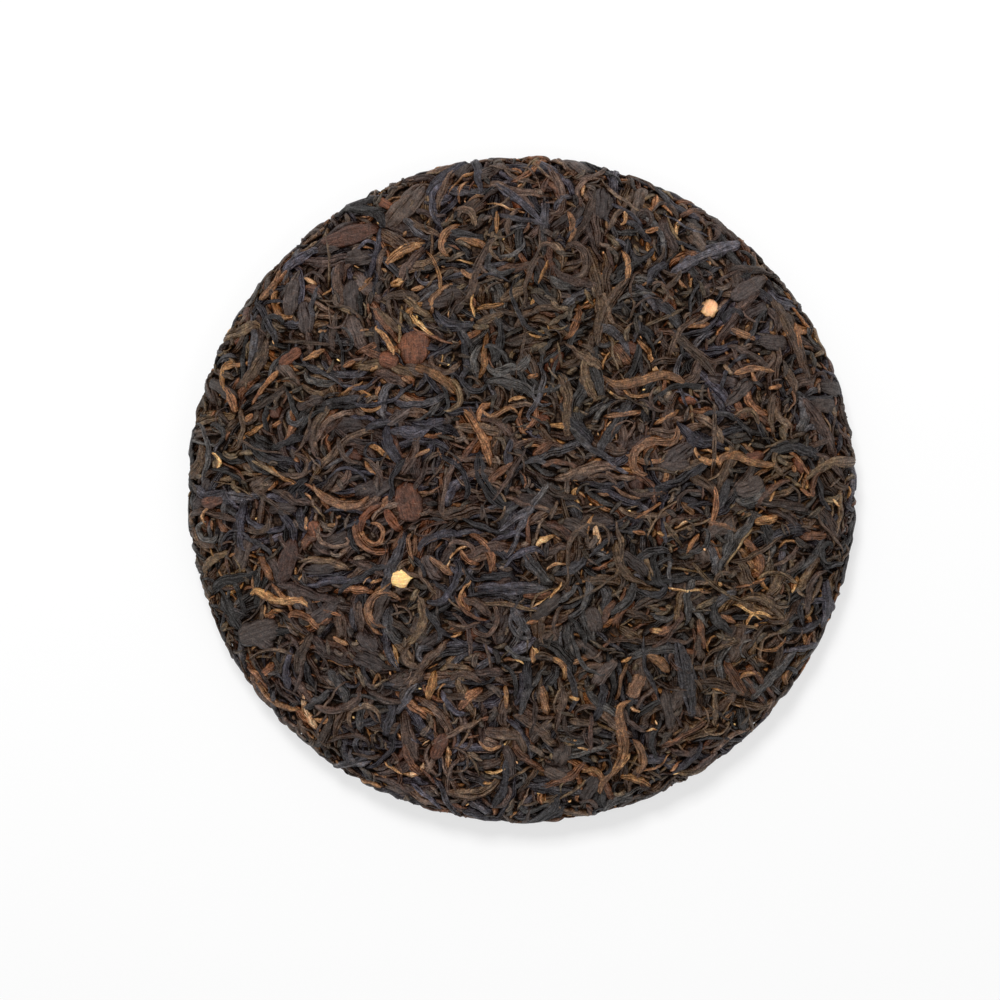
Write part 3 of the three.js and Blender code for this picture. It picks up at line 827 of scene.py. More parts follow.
class CakePile:
    """The pile of leaves on one sheet, pressed level, ready to be wrapped over the cake."""

    top_level = 0.65  # highest that a pressed leaf stands above the cake's form
    closing = 0.8  # share of the depth of the gaps that pressing leaves
    spread = 4.5  # of the blur that gives the level to press to
    pushed_in = (0.2, 1.5)  # least and most that a leaf's end is pushed in
    end_power = 4  # to which that fades from the end to the middle
    late = 0.14  # share of the leaves that is laid after those that stand out
    hidden = 0.12  # depth of a leaf's top under others from which it can't be seen
    seen_share = 0.07  # of a leaf's samples, where it is dropped below

    def __init__(self, side: Side, reach: float, counts: tuple[int, int], rim: float, seed: int) -> None:
        """Sets up the pile.

        Args:
            side: The sheet.
            reach: How far the leaves' middles lie from its middle, at most.
            counts: Number of leaves and of small scraps.
            rim: Distance from the middle from which leaves lie along the rim.
            seed: Seed of the draws.
        """
        self.side = side
        self.counts = counts
        self.rim = rim
        self.rng = np.random.default_rng(seed)
        self.pile = Pile(reach)

    def built(self, shown: tuple[Leaves, Array, Array] | None) -> "CakePile":
        """Lays all leaves and keeps those that can be seen.

        Args:
            shown: Leaves with places of their own and their middle lines, or None.

        Returns:
            This pile.
        """
        rng = self.rng
        leaves = drawn_leaves(SORTS, self.counts[0], rng)
        leaves = leaves.followed_by(drawn_leaves(SCRAPS, self.counts[1], rng))
        strewn = len(leaves)
        line_x, line_y, heading = middle_lines(leaves)
        order = rng.permutation(int(self.counts[0] * (1 - self.late)))
        rest = np.arange(len(order), strewn)
        if shown is not None:
            leaves = leaves.followed_by(shown[0])
            line_x = np.concatenate([line_x, shown[1]])
            line_y = np.concatenate([line_y, shown[2]])
            turn = np.arctan2(np.gradient(shown[2], axis=1), np.gradient(shown[1], axis=1))
            heading = np.concatenate([heading, np.unwrap(turn, axis=1)])
        order = np.concatenate([order, np.arange(strewn, len(leaves)), rng.permutation(rest)])
        taper = end_taper(leaves)
        sink = rng.uniform(*self.pushed_in, (2, len(leaves)))
        share = np.linspace(-1, 1, FINE)
        sinking = np.where(share < 0, sink[0][:, None], sink[1][:, None]) * share**self.end_power
        self.level = np.zeros((len(leaves), FINE))
        self.slope = np.zeros((len(leaves), FINE))
        tops = {}
        for row in order:
            if row < strewn:
                x, y, turn = self.pile.chosen_place(line_x[row], line_y[row], rng, self.rim)
                cos, sin = math.cos(turn), math.sin(turn)
                turned_x = cos * line_x[row] - sin * line_y[row]
                line_y[row] = sin * line_x[row] + cos * line_y[row] + y
                line_x[row] = turned_x + x
                heading[row] += turn
            self.level[row], self.slope[row], tops[row] = self.pile.lay(
                line_x[row],
                line_y[row],
                heading[row],
                taper[row] * leaves.width[row] / 2,
                np.sqrt(taper[row]) * leaves.thickness[row],
                sinking[row],
            )
            if row >= strewn:
                self.pile.guarded[tops[row][:2]] = 1.0
        final = self.pile.heights
        seen = [(final[tops[row][:2]] - tops[row][2] < self.hidden).mean() for row in range(len(leaves))]
        kept = np.flatnonzero(np.array(seen) > self.seen_share)
        LOG.info("%s: %d of %d leaves can be seen", self.side.value, len(kept), len(leaves))
        self.leaves = leaves.taken(kept)
        self.line_x, self.line_y = line_x[kept], line_y[kept]
        self.heading, self.taper = heading[kept], taper[kept]
        self.level, self.slope = self.level[kept], self.slope[kept]
        self.levelled = self.pile.local_top(self.spread)
        return self

    def pressed(self, x: Array, y: Array, height: Array) -> Array:
        """Heights above the cake's form after pressing.

        Args:
            x: Places on the sheet, to the right.
            y: Places on the sheet, upwards.
            height: Heights in the pile.

        Returns:
            The height above the blurred top of the pile. What stands above it is flattened by a
            hyperbolic tangent, and what lies below comes up in proportion, so that the leaves keep
            their order.
        """
        above = height - self.pile.sampled(self.levelled, x, y)
        return np.where(above > 0, self.top_level * np.tanh(above / self.top_level), self.closing * above)


@dataclass
class MeshData:
    """Triangles of a piece, and what its finish reads.

    The bake map is the one that the export bakes through. The leaf map runs in millimetres across
    and along each leaf. The facts are four numbers a point: the leaf's tint, how deep the point lies
    in the pile, which sets a painted shadow, how deep in a fold, which sets painted shade in the folds
    and at the edges and a painted highlight on the strands' tops, and the leaf's draw.
    """

    sharp_from = 0.5  # depth in a fold of both its ends from which an edge is sharp

    points: Array
    triangles: Rows
    bake_map: Array
    leaf_map: Array
    facts: Array

    @staticmethod
    def joined(parts: "list[MeshData]") -> "MeshData":
        """Puts parts together.

        Args:
            parts: The parts.

        Returns:
            All of them as one.
        """
        starts = np.cumsum([0] + [len(part.points) for part in parts[:-1]])
        return MeshData(
            np.concatenate([part.points for part in parts]),
            np.concatenate([part.triangles + start for part, start in zip(parts, starts)]),
            np.concatenate([part.bake_map for part in parts]),
            np.concatenate([part.leaf_map for part in parts]),
            np.concatenate([part.facts for part in parts]),
        )

    def made(self, name: str, material: bpy.types.Material, slot: str) -> bpy.types.Object:
        """Makes the object, creased along the folds, and puts it on the cake's body.

        Args:
            name: The piece's name.
            material: Its material.
            slot: The record's slot of its finish; not used.

        Returns:
            The object, at the origin.
        """
        mesh = bpy.data.meshes.new(name)
        corners = self.triangles.size
        mesh.vertices.add(len(self.points))
        mesh.vertices.foreach_set("co", self.points.astype(np.float32).ravel())
        mesh.loops.add(corners)
        mesh.loops.foreach_set("vertex_index", self.triangles.astype(np.int32).ravel())
        mesh.polygons.add(len(self.triangles))
        mesh.polygons.foreach_set("loop_start", np.arange(0, corners, 3, dtype=np.int32))
        maps = {"OFBake": self.bake_map, "leaf_map": self.leaf_map[self.triangles]}
        for map_name, values in maps.items():
            layer = mesh.uv_layers.new(name=map_name)
            layer.uv.foreach_set("vector", values.astype(np.float32).ravel())
        facts = mesh.attributes.new("leaf_facts", "FLOAT_COLOR", "POINT")
        facts.data.foreach_set("color", self.facts.astype(np.float32).ravel())
        mesh.update(calc_edges=True)
        mesh.shade_smooth()
        edges = np.empty(2 * len(mesh.edges), dtype=np.int32)
        mesh.edges.foreach_get("vertices", edges)
        creased = (self.facts[edges, 2] > self.sharp_from).reshape(-1, 2).all(axis=1)
        mesh.attributes.new("sharp_edge", "BOOLEAN", "EDGE").data.foreach_set("value", creased)
        mesh.materials.append(material)
        piece = bpy.data.objects.new(name, mesh)
        bpy.context.scene.collection.objects.link(piece)
        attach(piece, BODY)
        LOG.info("%s: %d triangles", name, len(self.triangles))
        return piece


def ringed(rings: int, around: int) -> tuple[Rows, Array]:
    """Triangles of a closed skin of rings, and their corners on a unit square.

    Points are numbered ring by ring from the start, and then the start and end points. Each
    quad between two rings is two triangles, and each end is a fan.

    Args:
        rings: Number of rings.
        around: Points round each ring.

    Returns:
        The triangles, and the square's coordinates of their corners: round, then along.
    """
    ring, point = np.meshgrid(np.arange(rings - 1), np.arange(around), indexing="ij")
    here = (ring * around + point).ravel()
    beside = (ring * around + (point + 1) % around).ravel()
    near = np.stack([here, here + around, beside + around], 1)
    far = np.stack([here, beside + around, beside], 1)
    left, right = point.ravel() / around, (point.ravel() + 1) / around
    low, high = (ring.ravel() + 1) / (rings + 1), (ring.ravel() + 2) / (rings + 1)
    near_map = np.stack([left, low, left, high, right, high], 1).reshape(-1, 3, 2)
    far_map = np.stack([left, low, right, high, right, low], 1).reshape(-1, 3, 2)
    point = np.arange(around)
    beside = (point + 1) % around
    start = rings * around
    last = start - around
    ends = [
        np.stack([np.full_like(point, start), point, beside], 1),
        np.stack([np.full_like(point, start + 1), last + beside, last + point], 1),
    ]
    left, right = point / around, (point + 1) / around
    middle, edge = (left + right) / 2, np.full(around, 1 / (rings + 1))
    end_maps = [
        np.stack([middle, 0 * edge, left, edge, right, edge], 1).reshape(-1, 3, 2),
        np.stack([middle, 0 * edge + 1, right, 1 - edge, left, 1 - edge], 1).reshape(-1, 3, 2),
    ]
    return np.concatenate([near, far, *ends]), np.concatenate([near_map, far_map, *end_maps])


@dataclass(frozen=True)
class LeafGrid:
    """Grid that a leaf's skin is worked out on: every so many points along, and strands across."""

    stride: int
    strands: int

    @property
    def rings(self) -> int:
        """Cross-sections between the two end points."""
        return (FINE - 1) // self.stride - 1

    @property
    def around(self) -> int:
        """Points round a cross-section: the edges, the folds and the strands' tops, and the keel."""
        return 2 * self.strands + 2


class LeafMesher:
    """Turns the leaves of a pressed pile into closed skins wrapped over the cake."""

    most_strands = 6
    widths = (1.4, 2.3, 3.3)  # below which a leaf has two, three and four strands
    lengths = (3.2, 7)  # below which a leaf is tiny, and below which it is short
    long_from = (22, 12)  # length from which a straight leaf is long, and a curly one that isn't slim
    curly_from = 150  # degrees of turn, all told
    sway_share = 0.25  # of the sway, that counts as turn
    strides = (9, 4, 2, 3)  # of a tiny, a short, a long and any other leaf
    edge_height = 0.25  # of a leaf's edges, as a share of its thickness
    crown_powers = (2.2, 0.6)  # inner and outer, of the superellipse across a leaf
    fold_stray = 0.7  # from its even place, at most, as a share of a strand
    fold_depths = (0.25, 1.0)  # least and most, as a share of the leaf's own
    fold_pitches = (2.5, 7.0)  # of the wave that a fold comes and goes in, in radians a half leaf
    fold_steady = 0.7  # share of a fold's depth that the wave leaves alone
    strand_heights = (0.55, 1.0)  # least and most, as a share of the crown
    edge_pitches = (1.3, 2.9, 5.1, 8.3)  # of the waves of an edge, in quarter turns a half leaf
    edge_weights = (1.0, 0.8, 0.6, 0.4)
    ragged = 0.16  # how much each edge strays, as a share of half the width
    slender = 4  # length over width from which the edges stray fully
    stubby_ragged = 0.55  # share of it that the edges of a stubby leaf stray
    roll_pitch = 2.5  # of a leaf's twist along it, in radians a half leaf
    fold_shade = 1.8  # painted shade of the deepest fold against that of the edges, held at one
    darkest = 1.9  # depth below the cake's form from which the painted shadow of the gaps is darkest
    map_spread = 60  # millimetres that the leaves' own maps start over
    cell_margin = 0.06  # round a leaf in its cell of the bake map
    cell_height = 2  # of those cells, against their width

    def __init__(self, form: CakeForm, pile: CakePile, seed: int) -> None:
        """Draws the folds of all leaves.

        Args:
            form: The cake's form.
            pile: The pressed pile.
            seed: Seed of the draws.
        """
        self.form = form
        self.pile = pile
        rng = np.random.default_rng(seed)
        count = len(pile.leaves)
        folds = (count, 1, self.most_strands - 1)
        self.fold_place = rng.uniform(-self.fold_stray, self.fold_stray, folds)
        self.fold_drift = rng.uniform(-self.fold_stray, self.fold_stray, folds)
        self.fold_depth = rng.uniform(*self.fold_depths, folds)
        self.fold_wave = rng.uniform(*self.fold_pitches, folds)
        self.fold_phase = rng.uniform(0, FULL_TURN, folds)
        self.strand_height = rng.uniform(*self.strand_heights, (count, 1, self.most_strands))
        self.waves = rng.uniform(0, FULL_TURN, (count, 2, len(self.edge_pitches)))
        self.roll = rng.uniform(0, FULL_TURN, (count, 1))
        self.draw = rng.random((count, 2))

    def section(self, rows: Rows, strands: int, share: Array) -> tuple[Array, Array, Array]:
        """Cross-sections of leaves that are folded into strands side by side.

        The folds lie at even places across, each moved by its own amount and drifting along the
        leaf, and each strand's top lies midway between two folds. The height is the edge's plus a
        superellipse of the place across, lowered at the folds and by each strand's own share. The
        depth of a fold is a constant plus a sine of the place along, so that it comes and goes.

        Args:
            rows: The leaves.
            strands: Number of strands.
            share: Places along, from minus one to one.

        Returns:
            Places across, from minus one to one, heights as a share of the thickness, and how deep
            in a fold each point lies, which sets its painted shade and highlight, all by leaf, place along
            and point.
        """
        even = np.linspace(-1, 1, strands + 1)
        along = share[None, :, None]

        def of_folds(values: Array) -> Array:
            """The values of these leaves' folds."""
            return values[rows][:, :, : strands - 1]

        bounds = np.broadcast_to(even, (len(rows), len(share), strands + 1)).copy()
        bounds[:, :, 1:-1] += (of_folds(self.fold_place) + of_folds(self.fold_drift) * along) / strands
        across = np.empty((len(rows), len(share), 2 * strands + 1))
        across[:, :, 0::2] = bounds
        across[:, :, 1::2] = (bounds[:, :, 1:] + bounds[:, :, :-1]) / 2
        inner, outer = self.crown_powers
        crown = np.clip(1 - np.abs(across) ** inner, 0, 1) ** outer
        wave = np.sin(of_folds(self.fold_wave) * along + of_folds(self.fold_phase))
        depth = of_folds(self.fold_depth) * self.pile.leaves.groove[rows][:, None, None]
        depth = depth * (self.fold_steady + (1 - self.fold_steady) * wave)
        strand = self.strand_height[rows][:, :, :strands]
        crown[:, :, 2:-2:2] *= 1 - depth
        crown[:, :, 1::2] *= strand
        # Painted shade: darkest at the edges and the keel, then by a fold's depth, and a little on lower
        # strands' tops.
        crease = np.ones_like(crown)
        crease[:, :, 2:-2:2] = np.minimum(self.fold_shade * depth, 1)
        crease[:, :, 1::2] = 1 - strand
        return across, self.edge_height + (1 - self.edge_height) * crown, crease

    def straying(self, rows: Rows, share: Array) -> Array:
        """How far both edges stray along the leaf.

        Args:
            rows: The leaves.
            share: Places along, from minus one to one.

        Returns:
            Sums of sines, as shares of half the width, by leaf, edge and place.
        """
        turns = share[:, None] * np.array(self.edge_pitches) * math.pi / 2
        waves = np.sin(turns + self.waves[rows][:, :, None, :])
        slender = self.pile.leaves.length[rows] / self.pile.leaves.width[rows] / self.slender
        ragged = self.ragged * np.clip(slender, self.stubby_ragged, 1)[:, None, None]
        return ragged * (waves * np.array(self.edge_weights)).sum(axis=-1)

    def skins(self, rows: Rows, grid: LeafGrid, cells: tuple[int, int, int]) -> MeshData:
        """Skins of some leaves on one grid.

        Args:
            rows: The leaves.
            grid: The grid.
            cells: Columns and lines of the bake map's cells, and the first cell to use.

        Returns:
            The leaves' triangles.
        """
        pile, leaves = self.pile, self.pile.leaves
        at = np.arange(0, FINE, grid.stride)
        share = np.linspace(-1, 1, FINE)[at]
        across, up, crease = self.section(rows, grid.strands, share)
        left, right = np.moveaxis(self.straying(rows, share), 1, 0)[..., None]
        half = (pile.taper[rows][:, at] * leaves.width[rows][:, None] / 2)[:, :, None]
        offset = half * (across + np.abs(across) * np.where(across < 0, -left, right))
        thick = np.sqrt(pile.taper[rows][:, at]) * leaves.thickness[rows][:, None]
        roll = leaves.twist[rows][:, None] * np.sin(self.roll[rows] + self.roll_pitch * share)
        up = (up - 1) * thick[:, :, None]
        offset = np.concatenate([offset, 0 * offset[:, :, :1]], axis=2)
        up = np.concatenate([up, -thick[:, :, None]], axis=2)
        heading = pile.heading[rows][:, at, None]
        x = pile.line_x[rows][:, at, None] - np.sin(heading) * offset
        y = pile.line_y[rows][:, at, None] + np.cos(heading) * offset
        lean = (pile.slope[rows][:, at] + roll)[:, :, None]
        crest = pile.level[rows][:, at, None] + lean * offset + thick[:, :, None]
        raised = pile.pressed(x, y, crest) + up
        points = self.form.place(x, y, raised, pile.side)
        count = len(rows)
        is_top = np.arange(grid.around) < grid.around - 1
        crease = np.concatenate([crease, np.ones_like(crease[:, :, :1])], axis=2)
        along = np.broadcast_to(share[:, None] * leaves.length[rows][:, None, None] / 2, offset.shape)
        start = self.map_spread * self.draw[rows]
        leaf_map = np.stack([offset + start[:, :1, None], along + start[:, 1:, None]], -1)
        facts = np.stack(
            [
                np.broadcast_to(leaves.tint[rows][:, None, None], offset.shape),
                # how deep in the pile, which sets the painted shadow of the gaps
                np.clip(-raised / self.darkest, 0, 1),
                crease,
                np.broadcast_to(self.draw[rows][:, 1:, None], offset.shape),
            ],
            -1,
        )

        def by_ring(values: Array) -> Array:
            """Puts values in the order of the skin's points.

            Args:
                values: Values by leaf, ring and point.

            Returns:
                The inner rings' values, and then the means of the first and the last ring's tops.
            """
            ends = values[:, [0, -1]][:, :, is_top].mean(axis=2)
            inner = values[:, 1:-1].reshape(count, -1, values.shape[-1])
            return np.concatenate([inner, ends], axis=1)

        triangles, square = ringed(grid.rings, grid.around)
        size = grid.rings * grid.around + 2
        columns, lines, first = cells
        cell = first + np.arange(count)
        corner = np.stack([cell % columns, cell // columns], -1)[:, None, None, :]
        inside = self.cell_margin + (1 - 2 * self.cell_margin) * square
        bake_map = (corner + inside) / np.array([columns, lines])
        return MeshData(
            by_ring(points).reshape(-1, 3),
            (triangles + size * np.arange(count)[:, None, None]).reshape(-1, 3),
            bake_map.reshape(-1, 3, 2),
            by_ring(leaf_map).reshape(-1, 2),
            by_ring(facts).reshape(-1, 4),
        )

    def piece_of(self, rows: Rows) -> MeshData:
        """Skins of some leaves, each on the grid that suits its length.

        Args:
            rows: The leaves.

        Returns:
            The leaves' triangles, with a cell of the bake map for each.
        """
        leaves = self.pile.leaves
        turn = np.abs(leaves.bend) + np.abs(leaves.sway) * self.sway_share
        turn = turn + np.abs(leaves.hook_start) + np.abs(leaves.hook_end)
        length, width = leaves.length[rows], leaves.width[rows]
        curly = turn[rows] > math.radians(self.curly_from)
        tiny, short = (length < limit for limit in self.lengths)
        slim, middling, wide = (width < limit for limit in self.widths)
        straight_from, curly_from = self.long_from
        long = (length > straight_from) | (curly & (length > curly_from) & (width > self.widths[0]))
        strands = np.select([tiny, short | slim, middling, wide], [1, 2, 3, 4], self.most_strands)
        stride = np.select([tiny, short, long], self.strides[:3], self.strides[3])
        columns = math.ceil(math.sqrt(self.cell_height * len(rows)))
        lines = math.ceil(len(rows) / columns)
        parts = []
        first = 0
        for step, count in sorted(set(zip(stride.tolist(), strands.tolist()))):
            chosen = rows[(stride == step) & (strands == count)]
            parts.append(self.skins(chosen, LeafGrid(step, count), (columns, lines, first)))
            first += len(chosen)
        return MeshData.joined(parts)


@dataclass(frozen=True)
class Noise:
    """A noise's settings."""

    scale: float
    detail: float  # number of finer layers
    rough: float  # strength of each finer layer against the one before


# Read on a leaf's own map, in millimetres.
FIBRE = Noise(2.0, 4, 0.75)
PATCH = Noise(0.42, 4, 0.68)
BLUSH = Noise(0.7, 3, 0.6)
# Read over the cake, in metres.
GRAIN = Noise(2300, 3, 0.65)
AREA = Noise(24, 2, 0.5)
CRUMBS = Noise(900, 4, 0.7)


class NodeBoard:
    """Shader nodes of one material."""

    noise_middle = (0.3, 0.7)  # part of a noise's values that is spread over a range

    def __init__(self, name: str, **values: object) -> None:
        """Starts a material with its shader, whose sockets take these values.

        Args:
            name: The material's name.
            values: Values of the shader's sockets, with low lines for spaces in their names.
        """
        self.material = bpy.data.materials.new(name)
        self.material.use_nodes = True
        self.nodes = self.material.node_tree.nodes
        self.links = self.material.node_tree.links
        self.shader = self.nodes["Principled BSDF"]
        for socket, value in values.items():
            self.shader.inputs[socket.replace("_", " ")].default_value = value

    def node(self, kind: str, **settings: object) -> bpy.types.Node:
        """Adds a node.

        Args:
            kind: Its type.
            settings: Its settings by name.

        Returns:
            The node.
        """
        made = self.nodes.new(kind)
        for name, value in settings.items():
            setattr(made, name, value)
        return made

    def join(self, source: Socket, target: Socket) -> None:
        """Links two sockets."""
        self.links.new(source, target)

    def worked(self, operation: str, *values: object) -> Socket:
        """Adds an arithmetic node.

        Args:
            operation: Its operation.
            values: Numbers or sockets to take in.

        Returns:
            Its result.
        """
        node = self.node("ShaderNodeMath", operation=operation)
        for socket, value in zip(node.inputs, values):
            if isinstance(value, Socket):
                self.join(value, socket)
            else:
                socket.default_value = value
        return node.outputs[0]

    def noise(self, place: Socket, noise: Noise) -> Socket:
        """Adds a noise.

        Args:
            place: Where it is read.
            noise: Its settings.

        Returns:
            Its value, about a half.
        """
        node = self.node("ShaderNodeTexNoise")
        node.inputs["Scale"].default_value = noise.scale
        node.inputs["Detail"].default_value = noise.detail
        node.inputs["Roughness"].default_value = noise.rough
        self.join(place, node.inputs["Vector"])
        return node.outputs["Fac"]

    def ramp(self, value: Socket, colours: tuple[Colour, ...]) -> Socket:
        """Adds evenly spaced colours that a value picks from.

        Args:
            value: The value, from nought to one.
            colours: The colours.

        Returns:
            The colour.
        """
        node = self.node("ShaderNodeValToRGB")
        stops = node.color_ramp.elements
        for _ in colours[2:]:
            stops.new(0.5)
        for place, colour in enumerate(colours):
            stops[place].position = place / (len(colours) - 1)
            stops[place].color = (*colour, 1)
        self.join(value, node.inputs["Fac"])
        return node.outputs["Color"]

    def scaled(self, colour: Socket, value: Socket) -> Socket:
        """Multiplies a colour by a value.

        Args:
            colour: The colour.
            value: The value.

        Returns:
            The colour.
        """
        node = self.node("ShaderNodeVectorMath", operation="SCALE")
        self.join(colour, node.inputs[0])
        self.join(value, node.inputs["Scale"])
        return node.outputs[0]

    def stained_or_shaded(self, colour: Socket, amount: Socket, stain_or_shade: Colour) -> Socket:
        """Multiplies a colour by a tint, or by a painted shadow.

        Args:
            colour: The colour.
            amount: How far, from nought to one.
            stain_or_shade: A real tint, or the painted shadow.

        Returns:
            The colour.
        """
        node = self.node("ShaderNodeMix", data_type="RGBA", blend_type="MULTIPLY")
        self.join(amount, node.inputs["Factor"])
        self.join(colour, node.inputs["A"])
        node.inputs["B"].default_value = (*stain_or_shade, 1)
        return node.outputs["Result"]

    def between(self, value: Socket, low: float, high: float) -> Socket:
        """Spreads the middle part of a noise over a range, held at both ends.

        Args:
            value: The noise.
            low: Start of the range.
            high: End of the range.

        Returns:
            The spread value.
        """
        node = self.node("ShaderNodeMapRange")
        limits = (*self.noise_middle, low, high)
        for name, limit in zip(("From Min", "From Max", "To Min", "To Max"), limits):
            node.inputs[name].default_value = limit
        self.join(value, node.inputs["Value"])
        return node.outputs[0]

    def bumped(self, height: Socket, distance: float) -> None:
        """Roughens the surface.

        Args:
            height: The height that roughens it.
            distance: What a height of one stands for, in metres.
        """
        node = self.node("ShaderNodeBump")
        node.inputs["Distance"].default_value = distance
        self.join(height, node.inputs["Height"])
        self.join(node.outputs["Normal"], self.shader.inputs["Normal"])


@dataclass(frozen=True)
class Finish:
    """Looks of one kind of leaf, with its colours from the darkest to the lightest."""

    along_scale = 0.12  # of the fibres along a leaf against across
    tint_pick = (0.66, 0.17)  # span and start of the pick of colours by the leaves' tints
    patch_pick = 0.28  # that the patches shift the pick by, at most
    fibre_pick = 0.16  # that the fibres shift it by
    # Painted shade into the folds and at the edges, and a painted highlight on the open surface.
    fold_power = 1.7
    painted_fold_light = (-1.3, 1.58)  # change of the shade into a fold, as painted shade, and the shade outside it, a painted highlight
    blush_range = (-0.4, 0.8)
    area_warmth = 0.75  # that slow areas of the cake add to a leaf's own hue, at most
    # Painted shadow deep in the pile's gaps, and shine taken away there as painted shade.
    depth_shadow = 1.1
    shine_shaded_by_depth = -1.5
    grain_height = 0.4  # of the bump, against the fibres

    slot: str
    colours: tuple[Colour, ...]
    roughness: tuple[float, float]
    streak: tuple[float, float] = (0.35, 1.6)
    grain: tuple[float, float] = (0.4, 1.7)
    bump: float = 0.0016  # metres
    specular: float = 0.62
    # colour of the painted shadow deep in the gaps
    shadow: Colour = (0.34, 0.2, 0.11)
    blush: Colour = (1.0, 0.7, 0.5)
    hue: Colour = (0.92, 0.93, 0.66)

    def material(self, name: str) -> bpy.types.Material:
        """Builds the material.

        The leaf's tint, patches over the leaf and fibres along it pick the colour. The fibres and a fine
        grain darken it, painted shade darkens the folds and edges, and a painted highlight lightens the
        strands' tops. The blush then reddens parts of the leaf, the leaf's draw and slow areas of the cake
        warm it by the hue, and the depth in the pile takes it to a painted shadow. The shine follows the
        same painted highlight and shade, and the depth takes it away as painted shade.

        Args:
            name: The material's name.

        Returns:
            The material.
        """
        board = NodeBoard(name)
        facts = board.node("ShaderNodeAttribute", attribute_name="leaf_facts")
        split = board.node("ShaderNodeSeparateColor")
        board.join(facts.outputs["Color"], split.inputs[0])
        tint, depth, fold = split.outputs
        along = board.node("ShaderNodeUVMap", uv_map="leaf_map")
        stretched = board.node("ShaderNodeMapping")
        stretched.inputs["Scale"].default_value = (1.0, self.along_scale, 1.0)
        board.join(along.outputs[0], stretched.inputs[0])
        cake = board.node("ShaderNodeTexCoord").outputs["Object"]
        fibre = board.noise(stretched.outputs[0], FIBRE)
        patch, blush = board.noise(along.outputs[0], PATCH), board.noise(along.outputs[0], BLUSH)
        grain, area = board.noise(cake, GRAIN), board.noise(cake, AREA)
        pick = board.worked("MULTIPLY_ADD", tint, *self.tint_pick)
        pick = board.worked("ADD", pick, board.between(patch, -self.patch_pick, self.patch_pick))
        pick = board.worked("ADD", pick, board.between(fibre, -self.fibre_pick, self.fibre_pick))
        streaks, grains = board.between(fibre, *self.streak), board.between(grain, *self.grain)
        shade = board.worked("MULTIPLY", streaks, grains)
        # Painted shade in the folds and at the edges, and a painted highlight on the strands' tops.
        crease = board.worked("POWER", fold, self.fold_power)
        shade = board.worked("MULTIPLY", shade, board.worked("MULTIPLY_ADD", crease, *self.painted_fold_light))
        colour = board.scaled(board.ramp(pick, self.colours), shade)
        colour = board.stained_or_shaded(colour, board.between(blush, *self.blush_range), self.blush)
        areas = board.between(area, -self.area_warmth, self.area_warmth)
        warmth = board.worked("ADD", facts.outputs["Alpha"], areas)
        colour = board.stained_or_shaded(colour, warmth, self.hue)
        # Painted shadow: the deeper in the pile, the nearer the shadow colour.
        colour = board.stained_or_shaded(colour, board.worked("MULTIPLY", depth, self.depth_shadow), self.shadow)
        board.join(colour, board.shader.inputs["Base Color"])
        board.join(board.between(grain, *self.roughness), board.shader.inputs["Roughness"])
        # The shine follows the shade: a painted highlight on the strands' tops, less in the folds, none
        # deep down.
        shine = board.worked("MULTIPLY", shade, self.specular)
        shine = board.worked("MULTIPLY_ADD", depth, self.shine_shaded_by_depth, shine)
        board.join(board.worked("MAXIMUM", shine, 0.0), board.shader.inputs["Specular IOR Level"])
        relief = board.worked("ADD", fibre, blush)
        board.bumped(board.worked("MULTIPLY_ADD", grain, self.grain_height, relief), self.bump)
        return board.material


FINISHES = {
    Kind.SLATE: Finish(
        "dark_leaf", palette((23, 19, 21), (39, 36, 42), (60, 57, 67), (101, 98, 111)), (0.32, 0.5)
    ),
    Kind.BROWN: Finish(
        "brown_leaf", palette((37, 26, 22), (62, 46, 41), (87, 67, 57), (129, 106, 89)), (0.36, 0.54)
    ),
    Kind.RUST: Finish(
        "rust_leaf",
        palette((49, 34, 29), (82, 55, 42), (117, 78, 53), (168, 122, 86)),
        (0.42, 0.6),
        hue=(0.95, 0.92, 0.7),
    ),
    Kind.GOLDEN: Finish(
        "golden_bud",
        palette((82, 58, 43), (122, 89, 65), (168, 126, 87), (226, 194, 157)),
        (0.45, 0.65),
        hue=(0.95, 0.9, 0.62),
    ),
    Kind.BROAD: Finish(
        "brown_leaf",
        palette((40, 32, 31), (62, 52, 50), (96, 82, 77)),
        (0.4, 0.6),
        streak=(0.5, 1.4),
        grain=(0.55, 1.45),
        bump=0.0012,
        hue=(0.95, 0.9, 0.75),
    ),
    Kind.STEM: Finish("leaf_stem", palette((50, 37, 31), (86, 68, 56), (144, 120, 94)), (0.42, 0.6)),
    Kind.SCRAP: Finish(
        "pressed_tea", palette((26, 20, 18), (52, 43, 40), (82, 68, 60), (130, 110, 94)), (0.42, 0.62)
    ),
    Kind.FLAKE: Finish(
        "rust_leaf",
        palette((47, 31, 26), (80, 49, 34), (124, 74, 44)),
        (0.45, 0.62),
        streak=(0.55, 1.35),
        grain=(0.5, 1.5),
        bump=0.0013,
        hue=(1.0, 0.95, 0.85),
    ),
    Kind.HUSK: Finish(
        "pale_husk",
        palette((210, 157, 120), (226, 186, 134), (246, 220, 146)),
        (0.5, 0.7),
        streak=(0.8, 1.15),
        grain=(0.8, 1.15),
        bump=0.0006,
        hue=(1.0, 1.0, 0.9),
    ),
}


